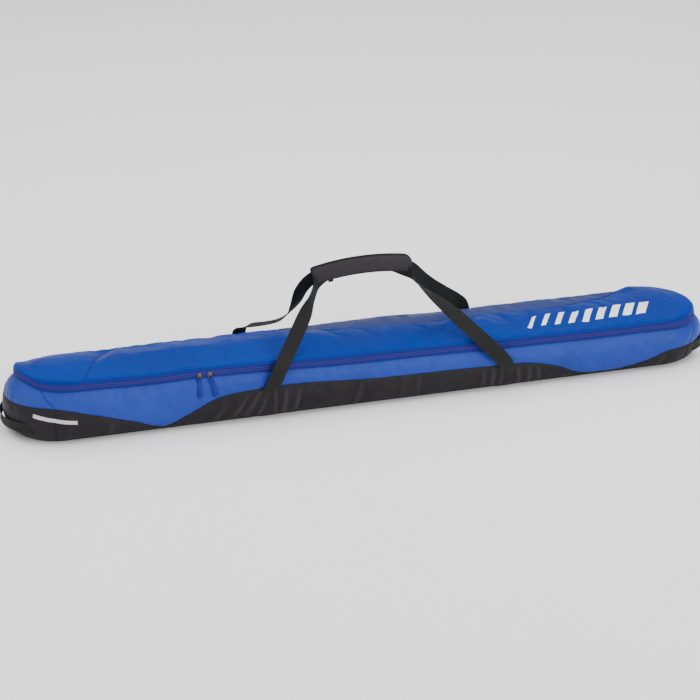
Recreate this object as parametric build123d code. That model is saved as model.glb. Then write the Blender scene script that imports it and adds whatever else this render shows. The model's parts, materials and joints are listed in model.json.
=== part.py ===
from build123d import *
import math
import os

# Padded bag for one pair of skis. X runs along the bag and the low end of its zipper is toward +X, -Y is
# the front side with the zipper sliders, +Y is the hinged rear side and +Z is up. The origin is the
# centre of the flat underside. Millimetres.

# ---------------------------------------------------------------- driving dimensions
# outlines seen from above: overall length, overall width, corner radius
FLOOR = (1800, 204, 98)       # flat underside
KERB = (1852, 262, 127)       # where the underside has turned up into the walls
BELLY = (1874, 284, 138)      # widest
RIM = (1824, 264, 128)        # zipper line and lid
KERB_Z = 20
BELLY_Z = 70
ZIP_Z = 134                   # zipper line above the underside, at mid length
ZIP_FALL = 0.0212             # drop of the zipper line per millimetre toward +X
ZIP_SHIFT = 7                 # the zipper outline sits this far toward +X

FABRIC = 2.5                  # shell fabric with its backing
BASE = 5.0                    # reinforced underside
BASE_TOP = 10                 # height at which the base panel is sewn to the black skirts
FOAM = 6.0                    # wall and lid padding
LINING = 1.0

BAND = 12                     # half height of the zipper band: tape, coil, coil, tape
COIL = 5                      # half height of the two coils together
COIL_GAP = 0.6                # half gap between the coils, where a slider's web runs
COIL_PROUD = 0.8              # how far the coils stand out from the tape
ZIP_END_Y = 100               # the zipper stops here, on both rear corners

LID_SHOULDER = 17             # the lid's edge starts to round over here, above the zipper line
LID_TOP = 22
LID_EDGE_IN = 11              # the flat top starts this far in from the zipper outline

WEBBING = 38                  # carry strap: width and thickness
WEB = 2.5
FOOT_Y = 149                  # carry handle's sewn foot, from the middle plane
FOOT_Z = -62                  # and from the zipper line
LEFT_FOOT_X = -285
RIGHT_FOOT_X = 350

LEFT_SLIDER_X = -467
RIGHT_SLIDER_X = -440

CLEAR = 0.3                   # play between parts that move against each other
REACH = 400                   # half size of a cutting tool in Y and Z, larger than the bag
LONG = 2400                   # length of a cutting tool in X, longer than the bag

# ---------------------------------------------------------------- colours of the plain model
BLACK = (0.05, 0.05, 0.06)
BLUE = (0.05, 0.15, 0.65)
PALE_BLUE = (0.15, 0.28, 0.72)
VIOLET = (0.16, 0.13, 0.6)
GREY = (0.5, 0.5, 0.52)
METAL = (0.5, 0.45, 0.38)
WHITE = (0.9, 0.9, 0.9)

# ---------------------------------------------------------------- frame of the zipper line
# The zipper line is straight and falls toward +X. Everything on it is drawn level, with z = 0 on the
# line, and is then placed by zip_frame.
ZIP_TILT = math.degrees(math.atan(ZIP_FALL))
zip_frame = Location((0, 0, ZIP_Z), (0, ZIP_TILT, 0))

os.makedirs("parts", exist_ok=True)


def save(name, part, colour, placement=Location()):
    """Writes one sub-part."""
    placed = placement * part
    placed.label = name
    placed.color = Color(*colour)
    export_step(placed, os.path.join("parts", name + ".step"))


def group(parts):
    """Several loose solids as one sub-part."""
    return Compound(children=[solid for part in parts for solid in part.solids()])


# ---------------------------------------------------------------- space inside an outline
def outline(size, inset=0.0):
    """An outline pulled in by inset all round."""
    length, width, radius = size
    return RectangleRounded(length - 2 * inset, width - 2 * inset, radius - inset)


def rim(z, inset=0.0):
    """The zipper outline at a height above the zipper line, in the zipper's frame."""
    return Pos(ZIP_SHIFT, 0, z) * outline(RIM, inset)


def tub(inset, floor_z=0.0, above=0.0):
    """All the space inside the lower bag's surface, pulled in by inset, up to the zipper band."""
    rings = [
        Pos(0, 0, floor_z) * outline(FLOOR, inset),
        Pos(0, 0, KERB_Z) * outline(KERB, inset),
        Pos(0, 0, BELLY_Z) * outline(BELLY, inset),
        zip_frame * rim(-BAND, inset),
    ]
    space = loft(rings, ruled=True)
    if above:
        space += zip_frame * extrude(rim(-BAND, inset), above)
    return space


def band_ring(z0, z1, outer=0.0, inner=FABRIC):
    """A vertical ring on the zipper outline, in the zipper's frame."""
    return extrude(rim(z0, outer), z1 - z0) - extrude(rim(z0, inner), z1 - z0)


# ---------------------------------------------------------------- cutting tools
def z_slab(z0, z1):
    """All the space between two heights."""
    return Pos(0, 0, (z0 + z1) / 2) * Box(LONG, 2 * REACH, z1 - z0)


def y_slab(y0, y1):
    """All the space between two planes of constant y."""
    return Pos(0, (y0 + y1) / 2, 0) * Box(LONG, y1 - y0, 2 * REACH)


def segments(points):
    """Straight edges through a row of points of a plane."""
    return [Edge.make_line(Vector(*a), Vector(*b)) for a, b in zip(points, points[1:])]


def curve(points):
    """One smooth edge through a row of points of a plane."""
    return Edge.make_spline([Vector(*point) for point in points])


def side_zone(edges):
    """A closed outline in X and Z, cut through the whole width."""
    return extrude(Plane.XZ * make_face(edges), REACH, both=True)


def top_zone(edges):
    """A closed outline in X and Y, cut through the whole height."""
    return extrude(make_face(edges), REACH, both=True)


# ---------------------------------------------------------------- seams of the lower bag
# Scalloped seam between the black skirts and the blue walls, in X and Z. It dips to the underside once on
# each half of the bag.
SCALLOP = [
    (-980, 94), (-905, 101), (-834, 100), (-750, 79), (-640, 45), (-556, 18), (-500, 43), (-430, 77),
    (-300, 91), (0, 80), (300, 74), (420, 68), (490, 50), (560, 19), (620, 15), (670, 17), (745, 34),
    (800, 54), (862, 58), (980, 52),
]
# Seams between the long panels and the end panels, from above the walls to below them.
BELOW = -50
ABOVE = 200
LEFT_SEAM = [(-909, ABOVE), (-909, 158), (-834, 100), (-834, BELOW)]
RIGHT_SEAM = [(905, ABOVE), (905, 118), (862, 58), (862, BELOW)]


def end_zone(seam, side):
    """Everything beyond an end seam, on the left (-1) or the right (1)."""
    far = side * LONG / 2
    return side_zone(segments(seam + [(far, BELOW), (far, ABOVE), seam[0]]))


under_scallop = [SCALLOP[-1], (SCALLOP[-1][0], BELOW), (SCALLOP[0][0], BELOW), SCALLOP[0]]
black_zone = side_zone([curve(SCALLOP)] + segments(under_scallop))
middle_zone = side_zone(segments(LEFT_SEAM + RIGHT_SEAM[::-1] + LEFT_SEAM[:1]))
left_zone = end_zone(LEFT_SEAM, -1)
right_zone = end_zone(RIGHT_SEAM, 1)
rear_half = y_slab(0, REACH)

# ---------------------------------------------------------------- base panel and the straps under it
outer_space = tub(0)
base_panel = (outer_space - tub(BASE, BASE)) & z_slab(-1, BASE_TOP)
strap_layer = (outer_space - tub(FABRIC, FABRIC)) & z_slab(-1, BASE_TOP)
for name, x in (("left_under_strap", LEFT_FOOT_X), ("right_under_strap", RIGHT_FOOT_X)):
    under_strap = strap_layer & (Pos(x, 0, 0) * Box(WEBBING, 2 * REACH, 2 * REACH))
    base_panel -= under_strap
    save(name, under_strap, BLACK)
save("base_panel", base_panel, BLACK)

# ---------------------------------------------------------------- shell of the lower bag
skin = (outer_space - tub(FABRIC, above=COIL)) & z_slab(BASE_TOP, REACH)
black_skin = skin & black_zone
blue_skin = skin - black_zone

save("front_skirt", (black_skin & middle_zone) - rear_half, BLACK)
save("rear_skirt", (black_skin & middle_zone) & rear_half, BLACK)
save("left_end_bumper", black_skin & left_zone, BLACK)
save("right_end_bumper", black_skin & right_zone, BLACK)
save("front_side_panel", (blue_skin & middle_zone) - rear_half, PALE_BLUE)
save("rear_side_panel", (blue_skin & middle_zone) & rear_half, PALE_BLUE)
save("left_end_panel", blue_skin & left_zone, BLUE)
save("right_end_panel", blue_skin & right_zone, BLUE)

# ---------------------------------------------------------------- padding and lining
padded_to = FABRIC + FOAM
lined_to = padded_to + LINING
wall_padding = (tub(FABRIC) - tub(padded_to, above=COIL)) & z_slab(BASE_TOP, REACH)
inner_lining = tub(padded_to) & z_slab(BASE_TOP, REACH)
inner_lining -= tub(lined_to, above=COIL) & z_slab(BASE_TOP + LINING, REACH)
save("wall_padding", wall_padding, GREY)
save("floor_padding", tub(BASE, BASE) & z_slab(0, BASE_TOP), GREY)
save("inner_lining", inner_lining, GREY)

# ---------------------------------------------------------------- zipper and rear seam
rear_stretch = y_slab(ZIP_END_Y, REACH)
save("lower_zipper_tape", band_ring(-BAND, -COIL) - rear_stretch, BLUE, zip_frame)
save("upper_zipper_tape", band_ring(COIL, BAND) - rear_stretch, BLUE, zip_frame)
save("lower_zipper_coil", band_ring(-COIL, -COIL_GAP, -COIL_PROUD) - rear_stretch, VIOLET, zip_frame)
save("upper_zipper_coil", band_ring(COIL_GAP, COIL, -COIL_PROUD) - rear_stretch, VIOLET, zip_frame)
save("rear_seam_binding", band_ring(-BAND, -COIL_GAP) & rear_stretch, BLUE, zip_frame)
save("lid_rear_binding", band_ring(COIL_GAP, BAND) & rear_stretch, BLUE, zip_frame)

# A folded fabric tab covers each end of the zipper, on the body's side of the rear corners.
END_TAB = (16, 14, 11)
END_TAB_Z = -6
END_TAB_PROUD = 3
END_TAB_SIDE = 4              # the tabs are centred this far short of the rear stretch
corner_x = RIM[0] / 2 - RIM[2]
corner_y = RIM[1] / 2 - RIM[2]
tab_angle = math.degrees(math.asin((ZIP_END_Y - END_TAB_SIDE - corner_y) / RIM[2]))
tab_ring = band_ring(-BAND, -COIL_GAP, -END_TAB_PROUD, -COIL_PROUD)
end_tabs = []
for side in (-1, 1):
    corner = Pos(ZIP_SHIFT + side * corner_x, corner_y, END_TAB_Z)
    turn = Rot(0, 0, tab_angle if side > 0 else 180 - tab_angle)
    end_tabs.append(tab_ring & (corner * turn * Pos(RIM[2], 0, 0) * Box(*END_TAB)))
save("zipper_end_tabs", group(end_tabs), BLACK, zip_frame)

# ---------------------------------------------------------------- lid
SHOULDER_IN = 2               # how far in the lid's edge is at the shoulder
LID_RELIEF = 1.5              # depth of the hollow under the lid's padding
lid_outer = loft([rim(BAND), rim(LID_SHOULDER, SHOULDER_IN), rim(LID_TOP, LID_EDGE_IN)], ruled=True)
lid_inner = loft(
    [
        rim(BAND, FABRIC),
        rim(LID_SHOULDER - 1, SHOULDER_IN + FABRIC),
        rim(LID_TOP - FABRIC, LID_EDGE_IN + 1),
    ],
    ruled=True,
)
lid_hollow = loft([rim(BAND, padded_to), rim(BAND + LID_RELIEF, padded_to + LID_RELIEF)], ruled=True)
lid_skin = lid_outer - lid_inner

# Seams of the lid in X and Y: an arc across the left end, and a wavy seam that sets off a rear strip.
LID_EDGE = 150
FAR_LEFT = -1000
CAP_SEAM = [(-768, -LID_EDGE), (-715, -40), (-625, LID_EDGE)]
STRIP_SEAM = [(-290, LID_EDGE), (-110, 70), (110, 22), (330, 42), (520, 38), (670, 80), (745, LID_EDGE)]
cap_seam = Edge.make_three_point_arc(*[Vector(*point) for point in CAP_SEAM])
cap_side = segments([CAP_SEAM[-1], (FAR_LEFT, LID_EDGE), (FAR_LEFT, -LID_EDGE), CAP_SEAM[0]])
cap_zone = top_zone([cap_seam] + cap_side)
strip_zone = top_zone([curve(STRIP_SEAM)] + segments([STRIP_SEAM[-1], STRIP_SEAM[0]]))

save("lid_left_cap", lid_skin & cap_zone, BLUE, zip_frame)
save("lid_rear_strip", lid_skin & strip_zone, BLUE, zip_frame)
save("lid_main_panel", lid_skin - cap_zone - strip_zone, BLUE, zip_frame)
save("lid_padding", lid_inner - lid_hollow, GREY, zip_frame)

# ---------------------------------------------------------------- zipper sliders and pulls
# Drawn with y = 0 on the zipper wall and -y outward.
PLATE = (16, 2.0, 13)         # front plate: along, through, up
PLATE_CORNER = 3.5
BACK_PLATE = (14, 1.6, 10)
BACK_Z = -1.5                 # the back plate sits low, so that the lid's coil lifts out past it
SLIDER_WEB = 6                # length of the web that joins the plates between the coils
BAIL = (3.0, 1.0, 7.2)        # bridge that carries the pull
BAIL_LEG = 1.4
RING_WIRE = 0.7               # wire radius of the pull ring
RING_HALF = 4.5
RING_DROP = 11
RING_CORNER = 1.5
TAB_WIDTH = 10
TAB_THICK = 2.0
TAB_FOLD = 1.6                # half thickness of the tab where it is folded over the ring
TAB_OVER = 1.2                # how far the fold reaches above the ring's lower wire
PULL_BEND = (-11, -44)        # the tab's inner face bends here to clear the belly of the wall: y, z
PULL_END_Z = -56

plate_y = -(COIL_PROUD + CLEAR + PLATE[1] / 2)
back_y = FABRIC + CLEAR + BACK_PLATE[1] / 2
ring_y = plate_y - PLATE[1] / 2 - CLEAR - RING_WIRE
bridge_y = ring_y - RING_WIRE - CLEAR - BAIL[1] / 2


def slider():
    """Front plate, web between the coils, low back plate and the bail."""
    front = Pos(0, plate_y, 0) * fillet(Box(*PLATE).edges().filter_by(Axis.Y), PLATE_CORNER)
    web = Pos(0, (back_y + plate_y) / 2, 0) * Box(SLIDER_WEB, back_y - plate_y, 2 * (COIL_GAP - CLEAR))
    back = Pos(0, back_y, BACK_Z) * Box(*BACK_PLATE)
    bridge = Pos(0, bridge_y, 0) * Box(*BAIL)
    leg_depth = plate_y - PLATE[1] / 2 - bridge_y
    leg_z = (BAIL[2] - BAIL_LEG) / 2
    legs = [
        Pos(0, bridge_y + leg_depth / 2, z) * Box(BAIL[0], leg_depth, BAIL_LEG)
        for z in (-leg_z, leg_z)
    ]
    return front + web + back + bridge + legs


def pull_ring():
    """Rectangular wire loop that hangs from the bail and carries the fabric tab."""
    loop = FilletPolyline(
        (-RING_HALF, 0), (RING_HALF, 0), (RING_HALF, -RING_DROP), (-RING_HALF, -RING_DROP),
        close=True, radius=RING_CORNER,
    )
    across = Plane(origin=(0, 0, 0), x_dir=(0, 0, 1), z_dir=(1, 0, 0))
    return Pos(0, ring_y, 0) * sweep(across * Circle(RING_WIRE), Plane.XZ * loop)


def pull_tab():
    """Fabric tab folded over the ring's lower wire."""
    top_z = -RING_DROP + TAB_OVER
    bend_y, bend_z = PULL_BEND
    profile = Polyline(
        (ring_y + TAB_FOLD, top_z), (bend_y, bend_z), (bend_y, PULL_END_Z),
        (bend_y - TAB_THICK, PULL_END_Z), (bend_y - TAB_THICK, bend_z), (ring_y - TAB_FOLD, top_z),
        close=True,
    )
    return extrude(make_face(Plane.YZ * profile), TAB_WIDTH / 2, both=True) - pull_ring()


for side, x in (("left", LEFT_SLIDER_X), ("right", RIGHT_SLIDER_X)):
    at = zip_frame * Pos(x, -RIM[1] / 2, 0)
    save(side + "_slider_body", slider(), METAL, at)
    save(side + "_pull_ring", pull_ring(), METAL, at)
    save(side + "_pull_tab", pull_tab(), BLUE, at)

# ---------------------------------------------------------------- carry handles
# Seen from the front, each strap rises from two feet to an arched grip. Seen from the end, it is upright
# at the wall, leans in over the lid and is upright again inside the grip.
GRIP_LEFT = (-133, 184)
GRIP_TOP = (0, 204)
GRIP_RIGHT = (131, 196)
STRAP_BENDS = [32, 500, 32]
STRAP_OUT = (6, 20)           # the strap has moved this far out at this height, and leans in from there
GRIP_KNEE = 160               # height at which the two straps are upright side by side
GRIP_WEB_Y = 3.25             # strap's middle from the middle plane, inside the grip
LEAN_BENDS = [40, 20]
ABOVE_GRIP = 30
GRIP_THICK = 14               # half thickness of the closed grip
GRIP_HEIGHT = 44
GRIP_EDGE = 5
CLOSURE = (214, 28)           # hook-and-loop strips inside the grip: length, height

strap_path = FilletPolyline(
    (LEFT_FOOT_X, FOOT_Z), GRIP_LEFT, GRIP_TOP, GRIP_RIGHT, (RIGHT_FOOT_X, FOOT_Z), radius=STRAP_BENDS
)
grip_arc = ThreePointArc(GRIP_LEFT, GRIP_TOP, GRIP_RIGHT)


def arch(path, width):
    """A band along a path in X and Z, cut through the whole width."""
    return extrude(Plane.XZ * trace(path, width), REACH, both=True)


strap_arch = arch(strap_path, WEBBING)
lean = FilletPolyline(
    (-FOOT_Y, FOOT_Z), (-FOOT_Y - STRAP_OUT[0], STRAP_OUT[1]), (-GRIP_WEB_Y, GRIP_KNEE),
    (-GRIP_WEB_Y, GRIP_TOP[1] + ABOVE_GRIP), radius=LEAN_BENDS,
)
front_strap = extrude(Plane.YZ * trace(lean, WEB), LONG / 2, both=True) & strap_arch

grip_block = arch(grip_arc, GRIP_HEIGHT) & y_slab(-GRIP_THICK, -CLEAR)
grip_block = fillet(grip_block.faces().sort_by(Axis.Y)[0].edges(), GRIP_EDGE)
strap_channel = strap_arch & y_slab(-GRIP_WEB_Y - WEB / 2, 0)
front_grip = grip_block - strap_channel - front_strap

closure = arch(grip_arc, CLOSURE[1]) & y_slab(-GRIP_WEB_Y + WEB / 2, -CLEAR)
closure &= Box(CLOSURE[0], 2 * REACH, 2 * REACH)

for name, part in (("handle_webbing", front_strap), ("grip_pad", front_grip)):
    save("front_" + name, part, BLACK, zip_frame)
    save("rear_" + name, mirror(part, Plane.XZ), BLACK, zip_frame)
save("grip_hook_strip", closure, GREY, zip_frame)
save("grip_loop_strip", mirror(closure, Plane.XZ), GREY, zip_frame)

# Webbing stubs come out of the wall seam under the four feet of the carry handles.
STUB_TOP = FOOT_Z - 3
STUB_RISE = 4
STUB_ROOT = (-136, STUB_TOP - 14)     # inside the wall
stub_line = Polyline(STUB_ROOT, (-FOOT_Y, STUB_TOP - STUB_RISE), (-FOOT_Y, STUB_TOP))
stub_band = extrude(Plane.YZ * trace(stub_line, WEB), WEBBING / 2, both=True)
foot_stubs = []
for x in (LEFT_FOOT_X, RIGHT_FOOT_X):
    foot_stub = (zip_frame * Pos(x, 0, 0) * stub_band) - outer_space
    foot_stubs += [foot_stub, mirror(foot_stub, Plane.XZ)]
save("handle_foot_stubs", group(foot_stubs), BLACK)

# ---------------------------------------------------------------- haul handles on the ends
HAUL_Z = 44
HAUL_WIDTH = 26
HAUL_ANGLE = 38               # the sewn ends sit this far round the bag's end from its tip
HAUL_STAND = 8                # strap's middle line from the widest outline, at the tip
HAUL_FOOT_OUT = 4             # and at the sewn ends, in X and Y
HAUL_STUB = (30, 5)           # stub: length into the wall, thickness
HAUL_TAG = (0.8, 20, 16)
haul_centre_x = BELLY[0] / 2 - BELLY[2]
haul_foot_x = haul_centre_x + BELLY[2] * math.cos(math.radians(HAUL_ANGLE)) + HAUL_FOOT_OUT
haul_foot_y = BELLY[2] * math.sin(math.radians(HAUL_ANGLE)) + HAUL_FOOT_OUT
haul_tip_x = BELLY[0] / 2 + HAUL_STAND
haul_cut_y = haul_foot_y - WEB


def haul_handle():
    """Level webbing loop across the right end, cut square at its two sewn ends."""
    arc = ThreePointArc((haul_foot_x, -haul_foot_y), (haul_tip_x, 0), (haul_foot_x, haul_foot_y))
    loop = Pos(0, 0, HAUL_Z - HAUL_WIDTH / 2) * extrude(trace(arc, WEB), HAUL_WIDTH)
    return loop & y_slab(-haul_cut_y, haul_cut_y)


def haul_stub(side):
    """Stitched stub that comes out of the right end and holds one end of the haul handle."""
    depth, thick = HAUL_STUB
    y = side * (haul_cut_y + CLEAR + thick / 2)
    block = Pos(haul_foot_x + WEB - depth / 2, y, HAUL_Z) * Box(depth, thick, HAUL_WIDTH)
    return block - outer_space


right_haul = haul_handle()
haul_tag = Pos(haul_tip_x + WEB / 2 + HAUL_TAG[0] / 2, 0, HAUL_Z) * Box(*HAUL_TAG)
haul_stubs = [haul_stub(side) for side in (-1, 1)]
haul_stubs += [mirror(stub, Plane.YZ) for stub in haul_stubs]
save("right_haul_handle", right_haul, BLACK)
save("left_haul_handle", mirror(right_haul, Plane.YZ), BLACK)
save("left_haul_tag", mirror(haul_tag, Plane.YZ), WHITE)
save("haul_handle_stubs", group(haul_stubs), BLACK)

# ---------------------------------------------------------------- name strip on the front left skirt
NAME_STRIP = [(-884, 88), (-780, 60), (-780, 51), (-884, 79), (-884, 88)]
NAME_STRIP_THICK = 0.8
name_layer = (tub(-NAME_STRIP_THICK) - outer_space) - rear_half
save("name_strip", name_layer & side_zone(segments(NAME_STRIP)), WHITE)

# ---------------------------------------------------------------- inner straps that hold the skis
INNER_X = {"left": -420, "right": 420}
INNER_THICK = 2.0
HOOK_LENGTH = 112
HOOK_HINGE_Y = 96
LOOP_LENGTH = 110
LOOP_Y = -48
ANCHOR = (WEBBING, 8, 6)
lining_z = BASE_TOP + LINING
hook_z = lining_z + INNER_THICK + CLEAR + INNER_THICK / 2
anchor_y = HOOK_HINGE_Y + CLEAR + INNER_THICK / 2 + ANCHOR[1] / 2

loops = []
for side, x in INNER_X.items():
    loops.append(Pos(x, LOOP_Y, lining_z + INNER_THICK / 2) * Box(WEBBING, LOOP_LENGTH, INNER_THICK))
    loops.append(Pos(x, anchor_y, lining_z + ANCHOR[2] / 2) * Box(*ANCHOR))
    hook = Pos(x, HOOK_HINGE_Y - HOOK_LENGTH / 2, hook_z) * Box(WEBBING, HOOK_LENGTH, INNER_THICK)
    save(side + "_ski_strap_hook", hook, BLACK)
save("ski_strap_loops", group(loops), BLACK)
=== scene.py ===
import json
import math

import bmesh
import bpy
import numpy as np
from mathutils import Matrix, Vector, noise
from mathutils.bvhtree import BVHTree
from mathutils.geometry import delaunay_2d_cdt


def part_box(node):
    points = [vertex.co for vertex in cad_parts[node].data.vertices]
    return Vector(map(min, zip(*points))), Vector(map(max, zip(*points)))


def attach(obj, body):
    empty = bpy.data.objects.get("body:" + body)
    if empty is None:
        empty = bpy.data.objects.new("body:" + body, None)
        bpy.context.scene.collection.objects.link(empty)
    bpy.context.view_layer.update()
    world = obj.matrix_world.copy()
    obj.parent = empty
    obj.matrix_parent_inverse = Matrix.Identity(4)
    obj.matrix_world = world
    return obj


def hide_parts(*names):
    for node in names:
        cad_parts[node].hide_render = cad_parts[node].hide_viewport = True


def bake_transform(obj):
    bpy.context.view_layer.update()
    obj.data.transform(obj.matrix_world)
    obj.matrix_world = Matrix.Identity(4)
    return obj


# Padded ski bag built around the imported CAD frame. Metres, in the frame's axes: X along the bag, -Y the
# side with the zipper sliders, +Y the hinged rear side, +Z up.

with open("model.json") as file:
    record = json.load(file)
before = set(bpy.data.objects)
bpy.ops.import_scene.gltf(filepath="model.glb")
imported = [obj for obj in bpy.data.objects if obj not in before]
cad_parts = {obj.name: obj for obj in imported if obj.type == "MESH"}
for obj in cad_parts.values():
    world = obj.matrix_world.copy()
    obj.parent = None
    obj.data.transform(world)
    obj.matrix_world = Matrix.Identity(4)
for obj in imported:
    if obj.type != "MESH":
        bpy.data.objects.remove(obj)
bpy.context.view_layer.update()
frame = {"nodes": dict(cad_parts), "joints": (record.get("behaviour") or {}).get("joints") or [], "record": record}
joints = {joint["name"]: joint for joint in frame["joints"]}

# ---------------------------------------------------------------- sizes read from the frame
FABRIC = 0.0025
wall_low, wall_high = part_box("wall_padding")
BELLY_X = wall_high.x + FABRIC
BELLY_Y = wall_high.y + FABRIC
tape_low, tape_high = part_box("upper_zipper_tape")
RIM_SHIFT = (tape_low.x + tape_high.x) / 2
RIM_X = (tape_high.x - tape_low.x) / 2
RIM_Y = -tape_low.y
ZIP_END_Y = tape_high.y
zip_pos = joints["lid_hinge"]["pos_m"]
zip_axis = joints["lid_hinge"]["axis"]
ZIP_FALL = -zip_axis[2] / zip_axis[0]
ZIP_Z = zip_pos[2] + ZIP_FALL * zip_pos[0]
foot_pos = joints["front_handle_hinge"]["pos_m"]
FOOT_Y = -foot_pos[1]
FOOT_DROP = ZIP_Z - ZIP_FALL * foot_pos[0] - foot_pos[2]
left_web_low, left_web_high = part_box("left_under_strap")
right_web_low, right_web_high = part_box("right_under_strap")
LEFT_FOOT_X = (left_web_low.x + left_web_high.x) / 2
RIGHT_FOOT_X = (right_web_low.x + right_web_high.x) / 2
WEBBING = left_web_high.x - left_web_low.x
BASE_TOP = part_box("base_panel")[1].z
haul_low, haul_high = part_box("right_haul_handle")
HAUL_Z = (haul_low.z + haul_high.z) / 2

# ---------------------------------------------------------------- shape of the bag
END_HALF = 0.004              # half of the short straight at each end of every outline
STRAIGHT = BELLY_X - BELLY_Y + END_HALF     # corner centres, from the middle
BELLY_R = BELLY_Y - END_HALF
RIM_R = RIM_Y - END_HALF
RIM_STRAIGHT = RIM_X - RIM_R
KERB_Z = 0.020
BELLY_Z = 0.070
BAND = 0.0105                 # half height of the zipper band
COIL = 0.005                  # half height of the two coils
# how far the surface is in from the widest outline at the floor, the kerb, the belly and the zipper band
SIDE_IN = (0.040, 0.011, 0.0, BELLY_R - RIM_R)
END_IN = (0.037, 0.011, 0.0, BELLY_X - RIM_X)
SIDE_SLOPE = (-2.9, -0.50, 0.0, 0.32)
END_SLOPE = (-2.7, -0.50, 0.0, 1.05)
REAR_DROP = 0.034             # the rear seam sags by this much at the left end
DROP_ENDS = (-0.80, 0.85)     # and by nothing at the right end
REAR_FROM = -0.07             # the sag starts here, across the bag
TIP_FROM = -0.855             # the zipper line turns up at the left tip
TIP_LENGTH = 0.045
TIP_LIFT = 0.010
LID_RISE = 0.009              # lid's rolled edge
LID_CROWN = 0.006
STRIP_SAG = 0.009             # the rear seam also sags along the right-hand strip
GRID = 0.0075                 # spacing of the cloth's vertices

SCALLOP = np.array([
    (-0.980, 0.094), (-0.905, 0.101), (-0.834, 0.100), (-0.750, 0.079), (-0.640, 0.045), (-0.556, 0.018),
    (-0.500, 0.043), (-0.430, 0.077), (-0.300, 0.091), (0, 0.080), (0.300, 0.074), (0.420, 0.068),
    (0.490, 0.050), (0.560, 0.019), (0.620, 0.015), (0.670, 0.017), (0.745, 0.034), (0.800, 0.054),
    (0.862, 0.058), (0.980, 0.052),
])
LEFT_SEAM = (-0.834, 0.100, -1.293)        # x and z of its foot, and its lean
RIGHT_SEAM = (0.862, 0.058, 0.717)
CAP_SEAM = [(-0.768, -0.150), (-0.715, -0.040), (-0.625, 0.150)]
STRIP_SEAM = [
    (-0.290, 0.150), (-0.110, 0.070), (0.110, 0.022), (0.330, 0.042), (0.520, 0.038), (0.640, 0.058),
    (0.725, 0.092), (0.768, 0.150),
]
# height of the zipper line over the straight one, along the front
WAVE = np.array([
    (-0.90, 0), (-0.72, 0), (-0.60, -0.002), (-0.464, 0.004), (-0.284, 0.002), (-0.07, -0.002),
    (0.10, 0), (0.33, -0.001), (0.60, 0), (0.75, 0.004), (0.90, 0.003),
])


# ---------------------------------------------------------------- curves and outlines
def smooth(t):
    t = np.clip(t, 0, 1)
    return t * t * (3 - 2 * t)


def unit(vectors):
    """Rows scaled to length one."""
    return vectors / np.linalg.norm(vectors, axis=1)[:, None]


def loop_tangent(loop):
    """Direction along a closed line, at each of its points."""
    return unit(np.roll(loop, -1, axis=0) - np.roll(loop, 1, axis=0))


def lengths_along(points):
    """Distance along a line from its start to each of its points."""
    return np.concatenate([[0], np.cumsum(np.linalg.norm(np.diff(points, axis=0), axis=1))])


def cubic(z, z0, z1, v0, v1, m0, m1):
    """Value at z of a cubic from v0 to v1 with end slopes m0 and m1."""
    span = z1 - z0
    t = np.clip((z - z0) / span, 0, 1)
    return (
        (2 * t**3 - 3 * t**2 + 1) * v0 + (t**3 - 2 * t**2 + t) * span * m0
        + (3 * t**2 - 2 * t**3) * v1 + (t**3 - t**2) * span * m1
    )


def spline_at(knots, values, at):
    """Smooth values at places along a line, from the values at its knots."""
    slopes = np.gradient(values, knots, axis=0)
    k = np.clip(np.searchsorted(knots, at, side="right") - 1, 0, len(knots) - 2)
    return cubic(
        at[:, None], knots[k][:, None], knots[k + 1][:, None], values[k], values[k + 1], slopes[k], slopes[k + 1],
    )


def smooth_line(points, spacing):
    """Evenly spaced points of a smooth curve through a few points."""
    points = np.asarray(points, float)
    knots = lengths_along(points)
    fine = np.linspace(0, knots[-1], max(60, int(knots[-1] / spacing * 4)))
    return resample(spline_at(knots, points, fine), spacing)


def resample(line, spacing, keep_end=True):
    """Evenly spaced points along a polyline."""
    line = np.asarray(line, float)
    along = lengths_along(line)
    wanted = np.linspace(0, along[-1], max(1, int(round(along[-1] / spacing))) + 1)
    if not keep_end:
        wanted = wanted[:-1]
    return np.stack([np.interp(wanted, along, column) for column in line.T], axis=1)


QUARTER = math.pi / 2 * BELLY_R
LENGTHS = [
    0, END_HALF, QUARTER, 2 * STRAIGHT, QUARTER, 2 * END_HALF, QUARTER, 2 * STRAIGHT, QUARTER, END_HALF,
]
KNOTS = np.cumsum(LENGTHS)
AROUND = KNOTS[-1]            # length of the widest outline
HALF_WAY = AROUND / 2
CORNER_X = [-1, -1, -1, 1, 1, 1, 1, -1, -1, -1]
CORNER_Y = [0, -1, -1, -1, -1, 1, 1, 1, 1, 0]
TURN = np.radians([180, 180, 270, 270, 360, 360, 450, 450, 540, 540])


def outline_frame(s):
    """Corner centre, in signs, and outward direction at length s along the outline. s is 0 at the left tip
    and runs along the front first."""
    s = np.mod(s, AROUND)
    angle = np.interp(s, KNOTS, TURN)
    return np.interp(s, KNOTS, CORNER_X), np.interp(s, KNOTS, CORNER_Y), np.cos(angle), np.sin(angle)


def rim_xy(s, out=0.0):
    """Point of the zipper outline, moved outward."""
    cx, cy, nx, ny = outline_frame(s)
    return RIM_SHIFT + cx * RIM_STRAIGHT + (RIM_R + out) * nx, cy * END_HALF + (RIM_R + out) * ny


def wave(x):
    """Slow rise and fall of the zipper line along the front."""
    total = 0
    for step in (-0.04, -0.02, 0, 0.02, 0.04):
        total = total + np.interp(x + step, WAVE[:, 0], WAVE[:, 1])
    return total / 5


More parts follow.
